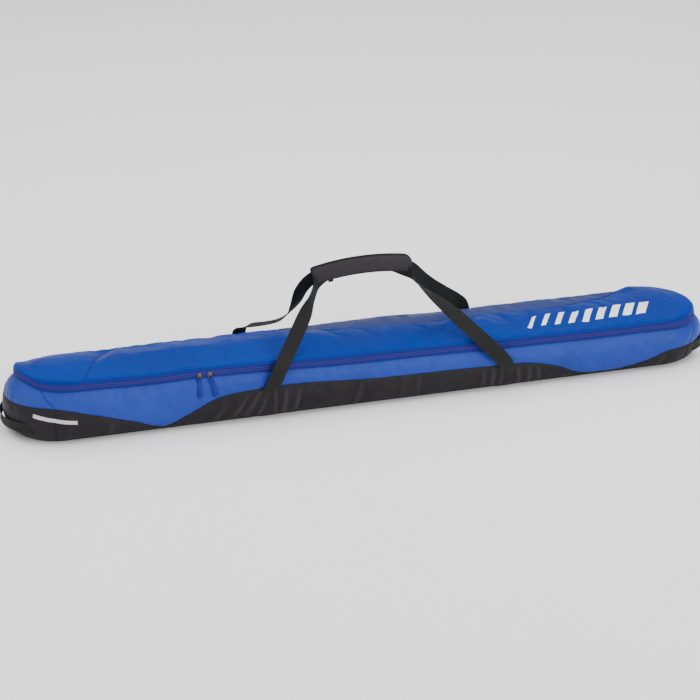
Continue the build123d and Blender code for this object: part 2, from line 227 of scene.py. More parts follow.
def zip_height(x, y):
    """Height of the zipper line, or of the lid's plane, at a place seen from above."""
    rear = smooth((y - REAR_FROM) / (RIM_Y - REAR_FROM))
    drop = REAR_DROP * smooth((DROP_ENDS[1] - x) / (DROP_ENDS[1] - DROP_ENDS[0]))
    tip = smooth((TIP_FROM - x) / TIP_LENGTH)
    drop = drop * (1 - 0.25 * tip) + STRIP_SAG * smooth((x - 0.02) / 0.30) * smooth((0.795 - x) / 0.035)
    return ZIP_Z - ZIP_FALL * x + wave(x) * (1 - rear) - drop * rear + TIP_LIFT * tip


def wall_top(s):
    """Height at which the walls are sewn to the zipper band."""
    x, y = rim_xy(s)
    return zip_height(x, y) - BAND


def profile(z, top, values, slopes):
    """How far in the surface is at a height, from its values and slopes at the four levels."""
    low = cubic(z, 0, KERB_Z, values[0], values[1], slopes[0], slopes[1])
    middle = cubic(z, KERB_Z, BELLY_Z, values[1], values[2], slopes[1], slopes[2])
    high = cubic(z, BELLY_Z, top, values[2], values[3], slopes[2], slopes[3])
    return np.where(z < KERB_Z, low, np.where(z < BELLY_Z, middle, high))


def tub_point(s, z, out=0.0):
    """Point of the lower bag's surface at length s round it and height z, moved outward."""
    s, z = np.broadcast_arrays(np.asarray(s, float), np.asarray(z, float))
    top = wall_top(s)
    side_in = profile(z, top, SIDE_IN, SIDE_SLOPE)
    end_in = profile(z, top, END_IN, END_SLOPE)
    shift = RIM_SHIFT * smooth((z - BELLY_Z) / (top - BELLY_Z))
    cx, cy, nx, ny = outline_frame(s)
    radius = BELLY_R - side_in + out
    x = shift + cx * (STRAIGHT + side_in - end_in) + radius * nx
    y = cy * END_HALF + radius * ny
    return np.stack([x, y, z], axis=-1)


HALF_S = np.linspace(0, HALF_WAY, 4001)
HALF_X = tub_point(HALF_S, BELLY_Z)[:, 0]


def front_s(x):
    """Length along the outline at which the front side is at x."""
    return np.interp(x, HALF_X, HALF_S)


def rear_s(x):
    """The same for the rear side."""
    return AROUND - front_s(x)


SCALLOP_LINE = smooth_line(SCALLOP, 0.004)


def scallop(s):
    """Height of the dark skirt's top edge."""
    return np.interp(tub_point(s, BELLY_Z)[..., 0], SCALLOP_LINE[:, 0], SCALLOP_LINE[:, 1])


def rim_depth(x, y):
    """Distance in from the zipper outline, seen from above."""
    qx = np.abs(x - RIM_SHIFT) - RIM_STRAIGHT
    qy = np.abs(y) - END_HALF
    outside = np.hypot(np.maximum(qx, 0), np.maximum(qy, 0)) + np.minimum(np.maximum(qx, qy), 0)
    return RIM_R - outside


def lid_point(x, y, out=0.0):
    """Point of the lid's surface over a place seen from above."""
    depth = np.clip(rim_depth(x, y), 0, RIM_R)
    edge = np.clip(depth / LID_RISE, 0, 1)
    flat_tip = 1 - 0.7 * smooth((TIP_FROM - x) / TIP_LENGTH)
    rise = LID_RISE * np.sqrt(1 - (1 - edge) ** 2) * flat_tip
    crown = LID_CROWN * (1 - (1 - depth / RIM_R) ** 2)
    return np.stack([x, y, zip_height(x, y) + BAND + rise + crown + out], axis=-1)


# ---------------------------------------------------------------- flat patterns
BATCH = 3000                  # points compared with an outline at one time


def edge_distance(points, outline):
    """Distance of each point to a closed outline."""
    a = outline
    b = np.roll(outline, -1, axis=0)
    ab = b - a
    length2 = (ab**2).sum(axis=1)
    result = np.empty(len(points))
    for start in range(0, len(points), BATCH):
        p = points[start:start + BATCH, None, :]
        t = np.clip(((p - a) * ab).sum(axis=2) / length2, 0, 1)
        gaps = np.linalg.norm(p - a - t[..., None] * ab, axis=2)
        result[start:start + BATCH] = gaps.min(axis=1)
    return result


def inside(points, outline):
    """Whether each point is inside a closed outline."""
    a = outline
    b = np.roll(outline, -1, axis=0)
    result = np.zeros(len(points), bool)
    for start in range(0, len(points), BATCH):
        x = points[start:start + BATCH, None, 0]
        y = points[start:start + BATCH, None, 1]
        spans = (a[:, 1] > y) != (b[:, 1] > y)
        with np.errstate(divide="ignore", invalid="ignore"):
            cross = a[:, 0] + (y - a[:, 1]) * (b[:, 0] - a[:, 0]) / (b[:, 1] - a[:, 1])
        result[start:start + BATCH] = (spans & (x < cross)).sum(axis=1) % 2 == 1
    return result


def area_of(outline):
    x, y = outline[:, 0], outline[:, 1]
    return 0.5 * np.sum(x * np.roll(y, -1) - y * np.roll(x, -1))


def cut(curves, spacing=GRID, rows=(0.0012, 0.004)):
    """Cuts a flat pattern piece along curves that join end to end: vertices, faces, distance to the edge."""
    outline = np.concatenate([resample(curve, spacing, keep_end=False) for curve in curves])
    if area_of(outline) < 0:
        outline = outline[::-1]
    inward = loop_tangent(outline)[:, ::-1] * [-1, 1]
    points = [outline]
    for row in rows:
        moved = outline + row * inward
        points.append(moved[inside(moved, outline) & (edge_distance(moved, outline) > 0.93 * row)])
    low, high = outline.min(axis=0), outline.max(axis=0)
    xs = np.arange(low[0], high[0], spacing)
    ys = np.arange(low[1], high[1], spacing * math.sqrt(3) / 2)
    gx, gy = np.meshgrid(xs, ys)
    gx = gx + spacing / 2 * (np.arange(len(ys)) % 2)[:, None]
    hexes = np.stack([gx.ravel(), gy.ravel()], axis=1)
    hexes = hexes[inside(hexes, outline)]
    hexes = hexes[edge_distance(hexes, outline) > rows[-1] + 0.6 * spacing]
    points = np.concatenate(points + [hexes])
    ring = [list(range(len(outline)))]
    verts, _, faces, _, _, _ = delaunay_2d_cdt([Vector(p) for p in points], [], ring, 1, 1e-8)
    verts = np.array([tuple(v) for v in verts])
    return verts, [tuple(f) for f in faces], edge_distance(verts, outline)


# ---------------------------------------------------------------- meshes
def split_triangles(faces):
    return np.array([(f[0], f[k], f[k + 1]) for f in faces for k in range(1, len(f) - 1)])


def vertex_normals(verts, faces):
    triangles = split_triangles(faces)
    a, b, c = (verts[triangles[:, i]] for i in range(3))
    face_normals = np.cross(b - a, c - a)
    normals = np.zeros_like(verts)
    for i in range(3):
        np.add.at(normals, triangles[:, i], face_normals)
    return normals / np.maximum(np.linalg.norm(normals, axis=1), 1e-12)[:, None]


def thicken(verts, faces, thick, inner=None):
    """Closes an open sheet with a second face under it, a thickness away or given point by point."""
    if inner is None:
        inner = verts - thick * vertex_normals(verts, faces)
    count = len(verts)
    edges = {}
    for face in faces:
        for a, b in zip(face, face[1:] + face[:1]):
            edges[(a, b)] = edges.get((a, b), 0) + 1
    rims = [(a, b) for a, b in edges if (b, a) not in edges]
    back = [tuple(i + count for i in reversed(face)) for face in faces]
    sides = [(b, a, a + count, b + count) for a, b in rims]
    return np.concatenate([verts, inner]), list(faces) + back + sides


def volume(verts, faces):
    """Six times the volume of a closed mesh, negative where its faces look inward."""
    a, b, c = (verts[corner] for corner in split_triangles(faces).T)
    return (a * np.cross(b, c)).sum()


def turned_over(faces):
    return [tuple(reversed(face)) for face in faces]


def make_mesh(name, verts, faces, uv=None, seam=None, sharp=50, closed=True):
    """A smooth-shaded mesh object, with its pattern coordinates and its distance to the nearest seam."""
    verts = np.asarray(verts, float)
    if closed and volume(verts, faces) < 0:
        faces = turned_over(faces)
    mesh = bpy.data.meshes.new(name)
    mesh.from_pydata(verts.tolist(), [], faces)
    if uv is not None:
        loops = np.zeros(len(mesh.loops), np.int32)
        mesh.loops.foreach_get("vertex_index", loops)
        layer = mesh.uv_layers.new(name="pattern")
        layer.data.foreach_set("uv", np.asarray(uv, np.float32)[loops].ravel())
    if seam is not None:
        attribute = mesh.attributes.new("seam", "FLOAT", "POINT")
        attribute.data.foreach_set("value", np.asarray(seam, np.float32))
    mesh.shade_smooth()
    mesh.set_sharp_from_angle(angle=math.radians(sharp))
    obj = bpy.data.objects.new(name, mesh)
    bpy.context.scene.collection.objects.link(obj)
    return obj


def finish_piece(obj, slot, body, nodes=(), hinge=False):
    """Gives a piece its material, hides the frame's nodes it stands for and attaches it to its body. A hinged
    piece is baked in place instead.
    """
    obj.data.materials.append(MATERIALS[slot])
    if nodes:
        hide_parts(*nodes)
    if hinge:
        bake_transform(obj)
    else:
        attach(obj, body)
    return obj


def grid_faces(rows, columns, closed_rows=False, closed_columns=False):
    """Quads of a grid of vertices that is numbered row by row."""
    faces = []
    for r in range(rows if closed_rows else rows - 1):
        for c in range(columns if closed_columns else columns - 1):
            r1, c1 = (r + 1) % rows, (c + 1) % columns
            faces.append((r * columns + c, r * columns + c1, r1 * columns + c1, r1 * columns + c))
    return faces


def strip_faces(rows, columns):
    """Faces of a closed strip that is numbered section by section, with both its ends."""
    faces = grid_faces(rows, columns, closed_columns=True)
    faces.append(tuple(reversed(range(columns))))
    faces.append(tuple(range((rows - 1) * columns, rows * columns)))
    return faces


# half of the webbing's section, in half widths and half thicknesses: the woven edges are a little thicker
WEB_HALF = [
    (-1, 0), (-0.985, 0.7), (-0.94, 1.0), (-0.88, 0.8), (-0.45, 0.85), (0, 0.85), (0.45, 0.85), (0.88, 0.8),
    (0.94, 1.0), (0.985, 0.7),
]
WEB_SECTION = np.array(WEB_HALF + [(-a, -b) for a, b in WEB_HALF])
ALONG_X = (1.0, 0.0, 0.0)
ALONG_Y = (0.0, 1.0, 0.0)
ALONG_Z = (0.0, 0.0, 1.0)


def ribbon(centre, across, width, thick):
    """Flat webbing along a line: vertices, faces and pattern coordinates."""
    tangent = unit(np.gradient(centre, axis=0))
    across = np.broadcast_to(across, centre.shape)
    across = unit(across - (across * tangent).sum(axis=1)[:, None] * tangent)
    normal = np.cross(tangent, across)
    wide = WEB_SECTION[:, 0] * width / 2
    deep = WEB_SECTION[:, 1] * thick / 2
    verts = (
        centre[:, None, :] + across[:, None, :] * wide[None, :, None] + normal[:, None, :] * deep[None, :, None]
    )
    faces = strip_faces(len(centre), len(WEB_SECTION))
    uv = np.stack(np.broadcast_arrays(lengths_along(centre)[:, None], wide[None, :]), axis=-1)
    return verts.reshape(-1, 3), faces, uv.reshape(-1, 2)


def join(parts):
    """Joins several (vertices, faces, pattern coordinates) into one."""
    verts, faces, uvs, base = [], [], [], 0
    for part_verts, part_faces, part_uv in parts:
        verts.append(part_verts)
        uvs.append(part_uv)
        faces += [tuple(i + base for i in face) for face in part_faces]
        base += len(part_verts)
    return np.concatenate(verts), faces, np.concatenate(uvs)


def joined_mesh(name, parts, sharp=50):
    """One mesh object from several parts."""
    verts, faces, uv = join(parts)
    return make_mesh(name, verts, faces, uv=uv, sharp=sharp)


SAME_PLACE = 0.00005          # vertices nearer than this are merged


def weld(obj):
    """Merges vertices that coincide."""
    mesh = bmesh.new()
    mesh.from_mesh(obj.data)
    bmesh.ops.remove_doubles(mesh, verts=mesh.verts, dist=SAME_PLACE)
    bmesh.ops.dissolve_degenerate(mesh, dist=SAME_PLACE / 2, edges=mesh.edges)
    mesh.to_mesh(obj.data)
    mesh.free()


# ---------------------------------------------------------------- materials
def new_material(name):
    material = bpy.data.materials.new(name)
    material.use_nodes = True
    tree = material.node_tree
    tree.nodes.clear()
    output = tree.nodes.new("ShaderNodeOutputMaterial")
    shader = tree.nodes.new("ShaderNodeBsdfPrincipled")
    tree.links.new(shader.outputs["BSDF"], output.inputs["Surface"])
    return material, tree, shader


def add(tree, kind, inputs=None, **settings):
    """A node with its settings, and its inputs set to values or linked to sockets."""
    node = tree.nodes.new(kind)
    for key, value in settings.items():
        setattr(node, key, value)
    for key, value in (inputs or {}).items():
        if isinstance(value, bpy.types.NodeSocket):
            tree.links.new(value, node.inputs[key])
        else:
            node.inputs[key].default_value = value
    return node


def math_node(tree, operation, a, b=0.0):
    node = tree.nodes.new("ShaderNodeMath")
    node.operation = operation
    for socket, value in zip(node.inputs, (a, b)):
        if isinstance(value, bpy.types.NodeSocket):
            tree.links.new(value, socket)
        else:
            socket.default_value = value
    return node.outputs[0]


def mix_colour(tree, factor, a, b):
    node = tree.nodes.new("ShaderNodeMix")
    node.data_type = "RGBA"
    for socket, value in ((node.inputs["Factor"], factor), (node.inputs[6], a), (node.inputs[7], b)):
        if isinstance(value, bpy.types.NodeSocket):
            tree.links.new(value, socket)
        else:
            socket.default_value = (*value, 1)
    return node.outputs[2]


def waves(tree, vector, direction, period):
    """Smooth bands of a given period in metres."""
    node = add(
        tree, "ShaderNodeTexWave", {"Vector": vector, "Scale": 2 * math.pi / 20 / period},
        wave_type="BANDS", bands_direction=direction,
    )
    return node.outputs["Fac"]


def noise_at(tree, place, scale, detail=2.0):
    node = add(tree, "ShaderNodeTexNoise", {"Vector": place, "Scale": scale, "Detail": detail})
    return node.outputs["Fac"]


def map_range(tree, value, low, high, to_low=0.0, to_high=1.0):
    inputs = {"Value": value, "From Min": low, "From Max": high, "To Min": to_low, "To Max": to_high}
    return add(tree, "ShaderNodeMapRange", inputs).outputs[0]


def vertex_value(tree, name):
    node = tree.nodes.new("ShaderNodeAttribute")
    node.attribute_name = name
    return node.outputs["Fac"]


def weighted_sum(tree, terms):
    """Sum of sockets, each times its weight."""
    total = None
    for socket, weight in terms:
        part = math_node(tree, "MULTIPLY", socket, weight)
        total = part if total is None else math_node(tree, "ADD", total, part)
    return total


def object_place(tree):
    return tree.nodes.new("ShaderNodeTexCoord").outputs["Object"]


def finish_shader(tree, shader, base, roughness, height, strength, distance):
    """Links colour, roughness and bump."""
    bump = add(tree, "ShaderNodeBump", {"Height": height, "Strength": strength, "Distance": distance})
    tree.links.new(base, shader.inputs["Base Color"])
    tree.links.new(bump.outputs[0], shader.inputs["Normal"])
    if isinstance(roughness, bpy.types.NodeSocket):
        tree.links.new(roughness, shader.inputs["Roughness"])
    else:
        shader.inputs["Roughness"].default_value = roughness


def cloth(
    name, colour, shade, rough=0.5, spread=0.08, weave=0.0009, weave_bump=0.15, crinkle=0.0, crinkle_size=60,
    sheen=0.0, painted_seam_shade=None, ribs=0.0, rib_period=0.0016, worn=None, specular=0.5, folds=None,
):
    """A woven fabric: colour variation, plain weave or ribs, fine crinkles, painted shade along the seams, paler cloth
    where it is worn, and a painted highlight where a fold stands up."""
    material, tree, shader = new_material(name)
    coordinates = tree.nodes.new("ShaderNodeTexCoord")
    place = coordinates.outputs["Object"]
    threads = coordinates.outputs["UV"]
    cloudy = noise_at(tree, place, 7.0, 4.0)
    creases = noise_at(tree, place, crinkle_size, 5.0)
    mottle = weighted_sum(tree, [(cloudy, 0.7), (noise_at(tree, place, 700.0), 0.3)])
    base = mix_colour(tree, map_range(tree, mottle, 0.35, 0.65), colour, shade)
    # painted shade: the cloth darkens towards every seam, where it dips in
    if painted_seam_shade is not None:
        near = map_range(tree, vertex_value(tree, "seam"), 0.0, SEAM_SHADE_WIDTH, 0.55, 0.0)
        base = mix_colour(tree, near, base, painted_seam_shade)
    if worn is not None:
        base = mix_colour(tree, map_range(tree, creases, 0.56, 0.72, 0.0, 0.35), base, worn)
    # painted highlight: the folds colour is mixed in where a fold stands up, standing in for light on its crest
    if folds is not None:
        high = map_range(tree, vertex_value(tree, "fold"), 0.0010, 0.0052)
        base = mix_colour(tree, high, base, folds)
    warp = waves(tree, threads, "X", weave)
    weft = waves(tree, threads, "Y", weave)
    bumps = [(math_node(tree, "MULTIPLY", warp, weft), weave_bump)]
    if ribs:
        bumps.append((waves(tree, threads, "Y", rib_period), ribs))
    if crinkle:
        bumps.append((creases, crinkle))
    roughness = map_range(tree, cloudy, 0.3, 0.7, rough - spread, rough + spread)
    finish_shader(tree, shader, base, roughness, weighted_sum(tree, bumps), 0.6, 0.0012)
    shader.inputs["Sheen Weight"].default_value = sheen
    shader.inputs["Sheen Roughness"].default_value = 0.4
    shader.inputs["Specular IOR Level"].default_value = specular
    return material


def plated_metal(name, colour, shade):
    material, tree, shader = new_material(name)
    place = object_place(tree)
    patina = noise_at(tree, place, 260.0, 4.0)
    roughness = map_range(tree, noise_at(tree, place, 1500.0), 0.0, 1.0, 0.2, 0.45)
    finish_shader(tree, shader, mix_colour(tree, patina, colour, shade), roughness, patina, 0.2, 0.0003)
    shader.inputs["Metallic"].default_value = 1.0
    return material


def foam_material(name, colour, shade):
    material, tree, shader = new_material(name)
    place = object_place(tree)
    cells = add(tree, "ShaderNodeTexVoronoi", {"Vector": place, "Scale": 900.0}).outputs["Distance"]
    base = mix_colour(tree, noise_at(tree, place, 30.0), colour, shade)
    finish_shader(tree, shader, base, 0.9, cells, 0.4, 0.0008)
    return material


# painted seam shade: width of the darkened band along each seam
SEAM_SHADE_WIDTH = 0.0024     # cloth is darker this near to a seam
# colour of the painted seam shade on the blue cloths
NAVY_SEAM_SHADE = (0.001, 0.006, 0.055)
MATERIALS = {
    "black_base": cloth("black_base", (0.007, 0.0068, 0.0075), (0.011, 0.0105, 0.0115), rough=0.7, weave=0.0014,
                        weave_bump=0.35, crinkle=0.5, worn=(0.03, 0.029, 0.028), specular=0.15),
    # black_shell's folds colour is a painted highlight on the crests of its creases
    "black_shell": cloth("black_shell", (0.0070, 0.0060, 0.0074), (0.0130, 0.0110, 0.0136), rough=0.56,
                         weave=0.0011, weave_bump=0.2, crinkle=0.9, crinkle_size=45, sheen=0.02,
                         painted_seam_shade=(0.002, 0.002, 0.0025), worn=(0.020, 0.018, 0.020), specular=0.13,
                         folds=(0.022, 0.0200, 0.0235)),
    "blue_wall": cloth("blue_wall", (0.009, 0.029, 0.205), (0.015, 0.042, 0.265), rough=0.46, weave_bump=0.1,
                       crinkle=0.5, crinkle_size=40, sheen=0.03, painted_seam_shade=NAVY_SEAM_SHADE, specular=0.12),
    "blue_lid": cloth("blue_lid", (0.0004, 0.0200, 0.185), (0.0012, 0.0265, 0.225), rough=0.44, weave_bump=0.1,
                      crinkle=0.5, crinkle_size=35, sheen=0.01, painted_seam_shade=NAVY_SEAM_SHADE, specular=0.05),
    "blue_lid_dull": cloth("blue_lid_dull", (0.005, 0.017, 0.110), (0.008, 0.022, 0.135), rough=0.56,
                           weave_bump=0.12, crinkle=0.8, crinkle_size=45, sheen=0.05, painted_seam_shade=NAVY_SEAM_SHADE,
                           specular=0.22),
    "blue_binding": cloth("blue_binding", (0.002, 0.013, 0.12), (0.004, 0.018, 0.145), rough=0.6, ribs=0.7,
                          rib_period=0.0012, specular=0.2),
    "foam": foam_material("foam", (0.16, 0.16, 0.17), (0.20, 0.20, 0.21)),
    "lining": cloth("lining", (0.040, 0.042, 0.047), (0.056, 0.058, 0.063), rough=0.55, crinkle=0.8,
                    painted_seam_shade=(0.02, 0.02, 0.022), specular=0.25),
    "lid_lining": cloth("lid_lining", (0.040, 0.042, 0.047), (0.056, 0.058, 0.063), rough=0.55, crinkle=0.8,
                        painted_seam_shade=(0.02, 0.02, 0.022), specular=0.25),
    "zipper_tape": cloth("zipper_tape", (0.004, 0.0125, 0.145), (0.007, 0.016, 0.165), rough=0.65, ribs=0.5,
                         rib_period=0.0010, specular=0.15),
    "zipper_coil": cloth("zipper_coil", (0.013, 0.010, 0.135), (0.019, 0.013, 0.165), rough=0.45, spread=0.05,
                         weave_bump=0.0, specular=0.22),
    "dark_tab": cloth("dark_tab", (0.005, 0.005, 0.008), (0.009, 0.009, 0.013), rough=0.65, ribs=0.6,
                      specular=0.15),
    "white_label": cloth("white_label", (0.40, 0.40, 0.40), (0.45, 0.45, 0.445), rough=0.45, weave=0.0007,
                         painted_seam_shade=(0.25, 0.25, 0.25), specular=0.3),
    "webbing": cloth("webbing", (0.0088, 0.0092, 0.0090), (0.0150, 0.0156, 0.0152), rough=0.68, weave=0.0017,
                     weave_bump=0.7, ribs=0.8, rib_period=0.0034, sheen=0.03, specular=0.10),
    "loop_tape": cloth("loop_tape", (0.012, 0.012, 0.013), (0.02, 0.02, 0.022), rough=0.9, weave=0.0012,
                       weave_bump=0.5, crinkle=1.0, crinkle_size=900, sheen=0.1, specular=0.1),
    "hook_tape": cloth("hook_tape", (0.010, 0.010, 0.011), (0.016, 0.016, 0.018), rough=0.5, weave=0.0016,
                       weave_bump=1.0, specular=0.2),
    "slider_metal": plated_metal("slider_metal", (0.17, 0.14, 0.11), (0.035, 0.030, 0.024)),
    "blue_pull": cloth("blue_pull", (0.003, 0.012, 0.165), (0.007, 0.018, 0.21), rough=0.6, ribs=0.9,
                       rib_period=0.0014, weave=0.001, specular=0.2),
    "grip_fabric": cloth("grip_fabric", (0.020, 0.0175, 0.0215), (0.030, 0.0265, 0.032), rough=0.7,
                         weave=0.0013, weave_bump=0.5, crinkle=0.6, crinkle_size=70, sheen=0.04,
                         painted_seam_shade=(0.002, 0.002, 0.003), specular=0.12),
    "blue_thread": cloth("blue_thread", (0.003, 0.022, 0.20), (0.008, 0.030, 0.24), rough=0.5, weave=0.0006,
                         specular=0.2),
    "black_thread": cloth("black_thread", (0.012, 0.012, 0.013), (0.02, 0.02, 0.022), rough=0.5, weave=0.0006,
                          specular=0.2),
    "white_print": cloth("white_print", (0.78, 0.78, 0.79), (0.84, 0.84, 0.84), rough=0.4, weave_bump=0.05,
                         specular=0.3),
}


# ---------------------------------------------------------------- cloth simulation
PUFF_WIDTH = 0.018            # the cloth swells within this distance from a seam
DIP_WIDTH = 0.0022            # and dips within this
FOLD_FADE = 0.006             # folds fade out this near to a seam
DEEPEST = -0.0026             # no crease goes deeper, so that the foam stays covered
SHEETS = []                   # fabric sheets to be simulated together, before they get their thickness


SIM_FRAMES = 20
PIN_STEPS = ((0.0006, 1.0), (0.002, 0.6), (0.0046, 0.25))     # depth from the seam, and how firmly it is held


def simulate():
    """Lets all the sheets settle at once, pinned along their seams, with more cloth than they need."""
    moved = {}
    for sheet in SHEETS:
        obj = make_mesh("sim_" + sheet["name"], sheet["verts"], sheet["faces"], closed=False)
        pins = obj.vertex_groups.new(name="pins")
        for _, weight in PIN_STEPS:
            picked = np.flatnonzero(np.isclose(sheet["pin"], weight))
            pins.add([int(i) for i in picked], weight, "REPLACE")
        modifier = obj.modifiers.new("Cloth", "CLOTH")
        settings = modifier.settings
        settings.quality = 6
        settings.mass = 0.3
        settings.tension_stiffness = 15
        settings.compression_stiffness = 15
        settings.shear_stiffness = 5
        settings.bending_stiffness = 0.3
        settings.use_pressure = True
        settings.uniform_pressure_force = sheet["pressure"]
        settings.shrink_min = -sheet["spare"]
        settings.shrink_max = -sheet["spare"]
        settings.vertex_group_mass = "pins"
        settings.pin_stiffness = 1.0
        settings.effector_weights.gravity = 0
        modifier.collision_settings.use_collision = False
        modifier.point_cache.frame_start = 1
        modifier.point_cache.frame_end = SIM_FRAMES
        moved[sheet["name"]] = obj
    for number in range(1, SIM_FRAMES + 1):
        bpy.context.scene.frame_set(number)
    graph = bpy.context.evaluated_depsgraph_get()
    for sheet in SHEETS:
        obj = moved[sheet["name"]]
        settled = obj.evaluated_get(graph).to_mesh()
        after = np.zeros(len(sheet["verts"]) * 3, np.float32)
        settled.vertices.foreach_get("co", after)
        shift = after.reshape(-1, 3) - sheet["verts"]
        normals = vertex_normals(sheet["verts"], sheet["faces"])
        inward = np.minimum((shift * normals).sum(axis=1) + sheet["in_cap"], 0)
        shift -= inward[:, None] * normals
        length = np.maximum(np.linalg.norm(shift, axis=1), 1e-9)
        shift *= np.minimum(1, sheet["cap"] / length)[:, None]
        shift[~np.isfinite(shift).all(axis=1)] = 0
        sheet["verts"] = sheet["verts"] + shift
        bpy.data.objects.remove(obj, do_unlink=True)
    bpy.context.scene.frame_set(1)


def fabric_sheet(
    name, curves, place, slot, body, nodes, puff=0.0, dip=0.0016, thick=0.0012, pressure=1.5, spare=0.012,
    cap=0.006, in_cap=0.002, relief=None, rows=(0.0012, 0.004), hinge=False, spacing=GRID, flip=False,
    shape=None, back=None, fill=None,
):
    """Cuts a pattern piece, puts it in place and lists it for simulation. It puffs out between its seams and
    dips into them. cap and in_cap limit how far the simulation may move a point, and how far inward."""
    flat, faces, depth = cut(curves, spacing, rows)
    out = puff * (1 - np.exp(-(depth / PUFF_WIDTH) ** 2)) - dip * np.exp(-(depth / DIP_WIDTH) ** 2)
    if shape is not None:
        out = shape(depth)
    raised = 0 * depth
    if relief is not None:
        raised = relief(flat) * (1 - np.exp(-(depth / FOLD_FADE) ** 2))
        out = np.maximum(out + raised, DEEPEST)
    if flip:
        faces = turned_over(faces)
    verts = place(flat, out)
    pin = np.select([depth < step for step, _ in PIN_STEPS], [weight for _, weight in PIN_STEPS], 0.0)
    SHEETS.append(dict(
        name=name, flat=flat, faces=faces, depth=depth, verts=verts, pin=pin, slot=slot, body=body, nodes=nodes,
        raised=raised,
        thick=thick, pressure=pressure, spare=spare, cap=cap, in_cap=in_cap, hinge=hinge,
        back=None if back is None else place(flat, np.full(len(flat), back)), fill=fill,
    ))


def finish_sheets():
    """Turns the settled sheets into closed pieces of fabric."""
    for sheet in SHEETS:
        verts, faces = thicken(sheet["verts"], sheet["faces"], sheet["thick"], sheet["back"])
        uv = np.concatenate([sheet["flat"], sheet["flat"]])
        seam = np.concatenate([sheet["depth"], sheet["depth"]])
        obj = make_mesh(sheet["name"], verts, faces, uv=uv, seam=seam)
        # heights of the folds, which the shader turns into a painted highlight on their crests
        fold_heights = obj.data.attributes.new("fold", "FLOAT", "POINT")
        fold_heights.data.foreach_set("value", np.tile(sheet["raised"], 2).astype(np.float32))
        finish_piece(obj, sheet["slot"], sheet["body"], sheet["nodes"], sheet["hinge"])


# ---------------------------------------------------------------- folds in the fabric
def fold(flat, a, b, width, height):
    """A soft fold along the line from a to b that fades out at both ends."""
    a, b = np.array(a), np.array(b)
    along = b - a
    t = ((flat - a) @ along) / (along @ along)
    nearest = a + np.clip(t, 0, 1)[:, None] * along
    distance = np.linalg.norm(flat - nearest, axis=1)
    fade = smooth(1.15 - np.abs(t - 0.5) * 1.3)
    return height * np.exp(-(distance / width) ** 2) * fade


def ripple(flat, size, seed):
    """Slow unevenness of the fabric."""
    return np.array([noise.noise(Vector((p[0] / size, p[1] / size, seed))) for p in flat])


def wall_relief(flat):
    return 0.0012 * ripple(flat, 0.07, 3.1) + 0.0007 * ripple(flat, 0.025, 7.7)


def skirt_relief(flat):
    """Creases of the dark skirts: diagonal ones by the left strap, upright ones by the right strap."""
    out = wall_relief(flat)
    folds = [
        (-0.350, 0.026, -0.312, 0.084, 0.009, 0.0024), (-0.385, 0.020, -0.345, 0.078, 0.009, 0.0020),
        (-0.318, 0.018, -0.296, 0.070, 0.007, 0.0024), (-0.276, 0.014, -0.274, 0.085, 0.006, 0.0024),
        (-0.252, 0.014, -0.246, 0.082, 0.008, 0.0026), (-0.222, 0.018, -0.212, 0.074, 0.010, 0.0018),
        (-0.430, 0.020, -0.405, 0.060, 0.010, 0.0016), (0.306, 0.014, 0.310, 0.068, 0.008, 0.0024),
        (0.282, 0.016, 0.284, 0.066, 0.009, 0.0018), (0.330, 0.014, 0.333, 0.066, 0.006, 0.0022),
        (0.382, 0.014, 0.376, 0.064, 0.008, 0.0024), (0.412, 0.012, 0.406, 0.060, 0.008, 0.0022),
        (0.440, 0.012, 0.432, 0.056, 0.009, 0.0018), (0.100, 0.020, 0.110, 0.070, 0.012, 0.0012),
        (0.060, 0.018, 0.066, 0.068, 0.010, 0.0010), (-0.060, 0.018, -0.045, 0.074, 0.014, 0.0012),
        (0.770, 0.012, 0.790, 0.044, 0.010, 0.0018), (-0.700, 0.014, -0.690, 0.050, 0.014, 0.0014),
    ]
    for x0, z0, x1, z1, width, height in folds:
        for to_s in (front_s, rear_s):
            out += fold(flat, (to_s(x0), z0), (to_s(x1), z1), 0.7 * width, 2.4 * height)
    return out


def gathers(flat, low, high):
    """Small gathers where the end panel's cloth is eased into the dark bumper."""
    s = flat[:, 0]
    above = np.clip(flat[:, 1] - scallop(s), 0, 1)
    window = smooth((s - low) / 0.03) * smooth((high - s) / 0.03)
    pleats = np.sin(s * 2 * math.pi / 0.024 + 2.1 * np.sin(s * 41))
    return 0.0036 * pleats * np.exp(-(above / 0.014) ** 2) * window


def end_relief(flat):
    out = wall_relief(flat)
    out += gathers(flat, -0.20, 0.16)
    out += gathers(flat, HALF_WAY - 0.16, HALF_WAY + 0.16)
    return out


def lid_relief(flat):
    """Creases of the lid: crumpled by the right strap, faint ones elsewhere."""
    out = 0.0022 * ripple(flat, 0.11, 1.3) + 0.0010 * ripple(flat, 0.04, 5.9)
    folds = [
        (0.235, -0.070, 0.330, -0.030, 0.010, 0.0035), (0.250, -0.100, 0.345, -0.075, 0.009, -0.0030),
        (0.210, -0.040, 0.300, 0.000, 0.010, -0.0030), (0.300, -0.115, 0.370, -0.100, 0.008, 0.0026),
        (0.160, -0.110, 0.215, -0.060, 0.010, 0.0024), (-0.250, -0.100, -0.190, 0.010, 0.012, 0.0020),
        (-0.520, -0.100, -0.480, 0.080, 0.016, 0.0016), (-0.400, -0.110, -0.330, 0.060, 0.015, -0.0018),
        (0.020, -0.110, 0.060, 0.000, 0.013, 0.0016), (0.420, -0.120, 0.470, 0.020, 0.016, -0.0016),
        (0.820, -0.080, 0.870, 0.040, 0.012, 0.0020), (-0.800, -0.090, -0.880, -0.020, 0.012, -0.0018),
        (-0.800, 0.050, -0.870, 0.010, 0.012, 0.0018),
    ]
    for x0, y0, x1, y1, width, height in folds:
        out += fold(flat, (x0, y0), (x1, y1), 0.9 * width, 1.8 * height)
    return out


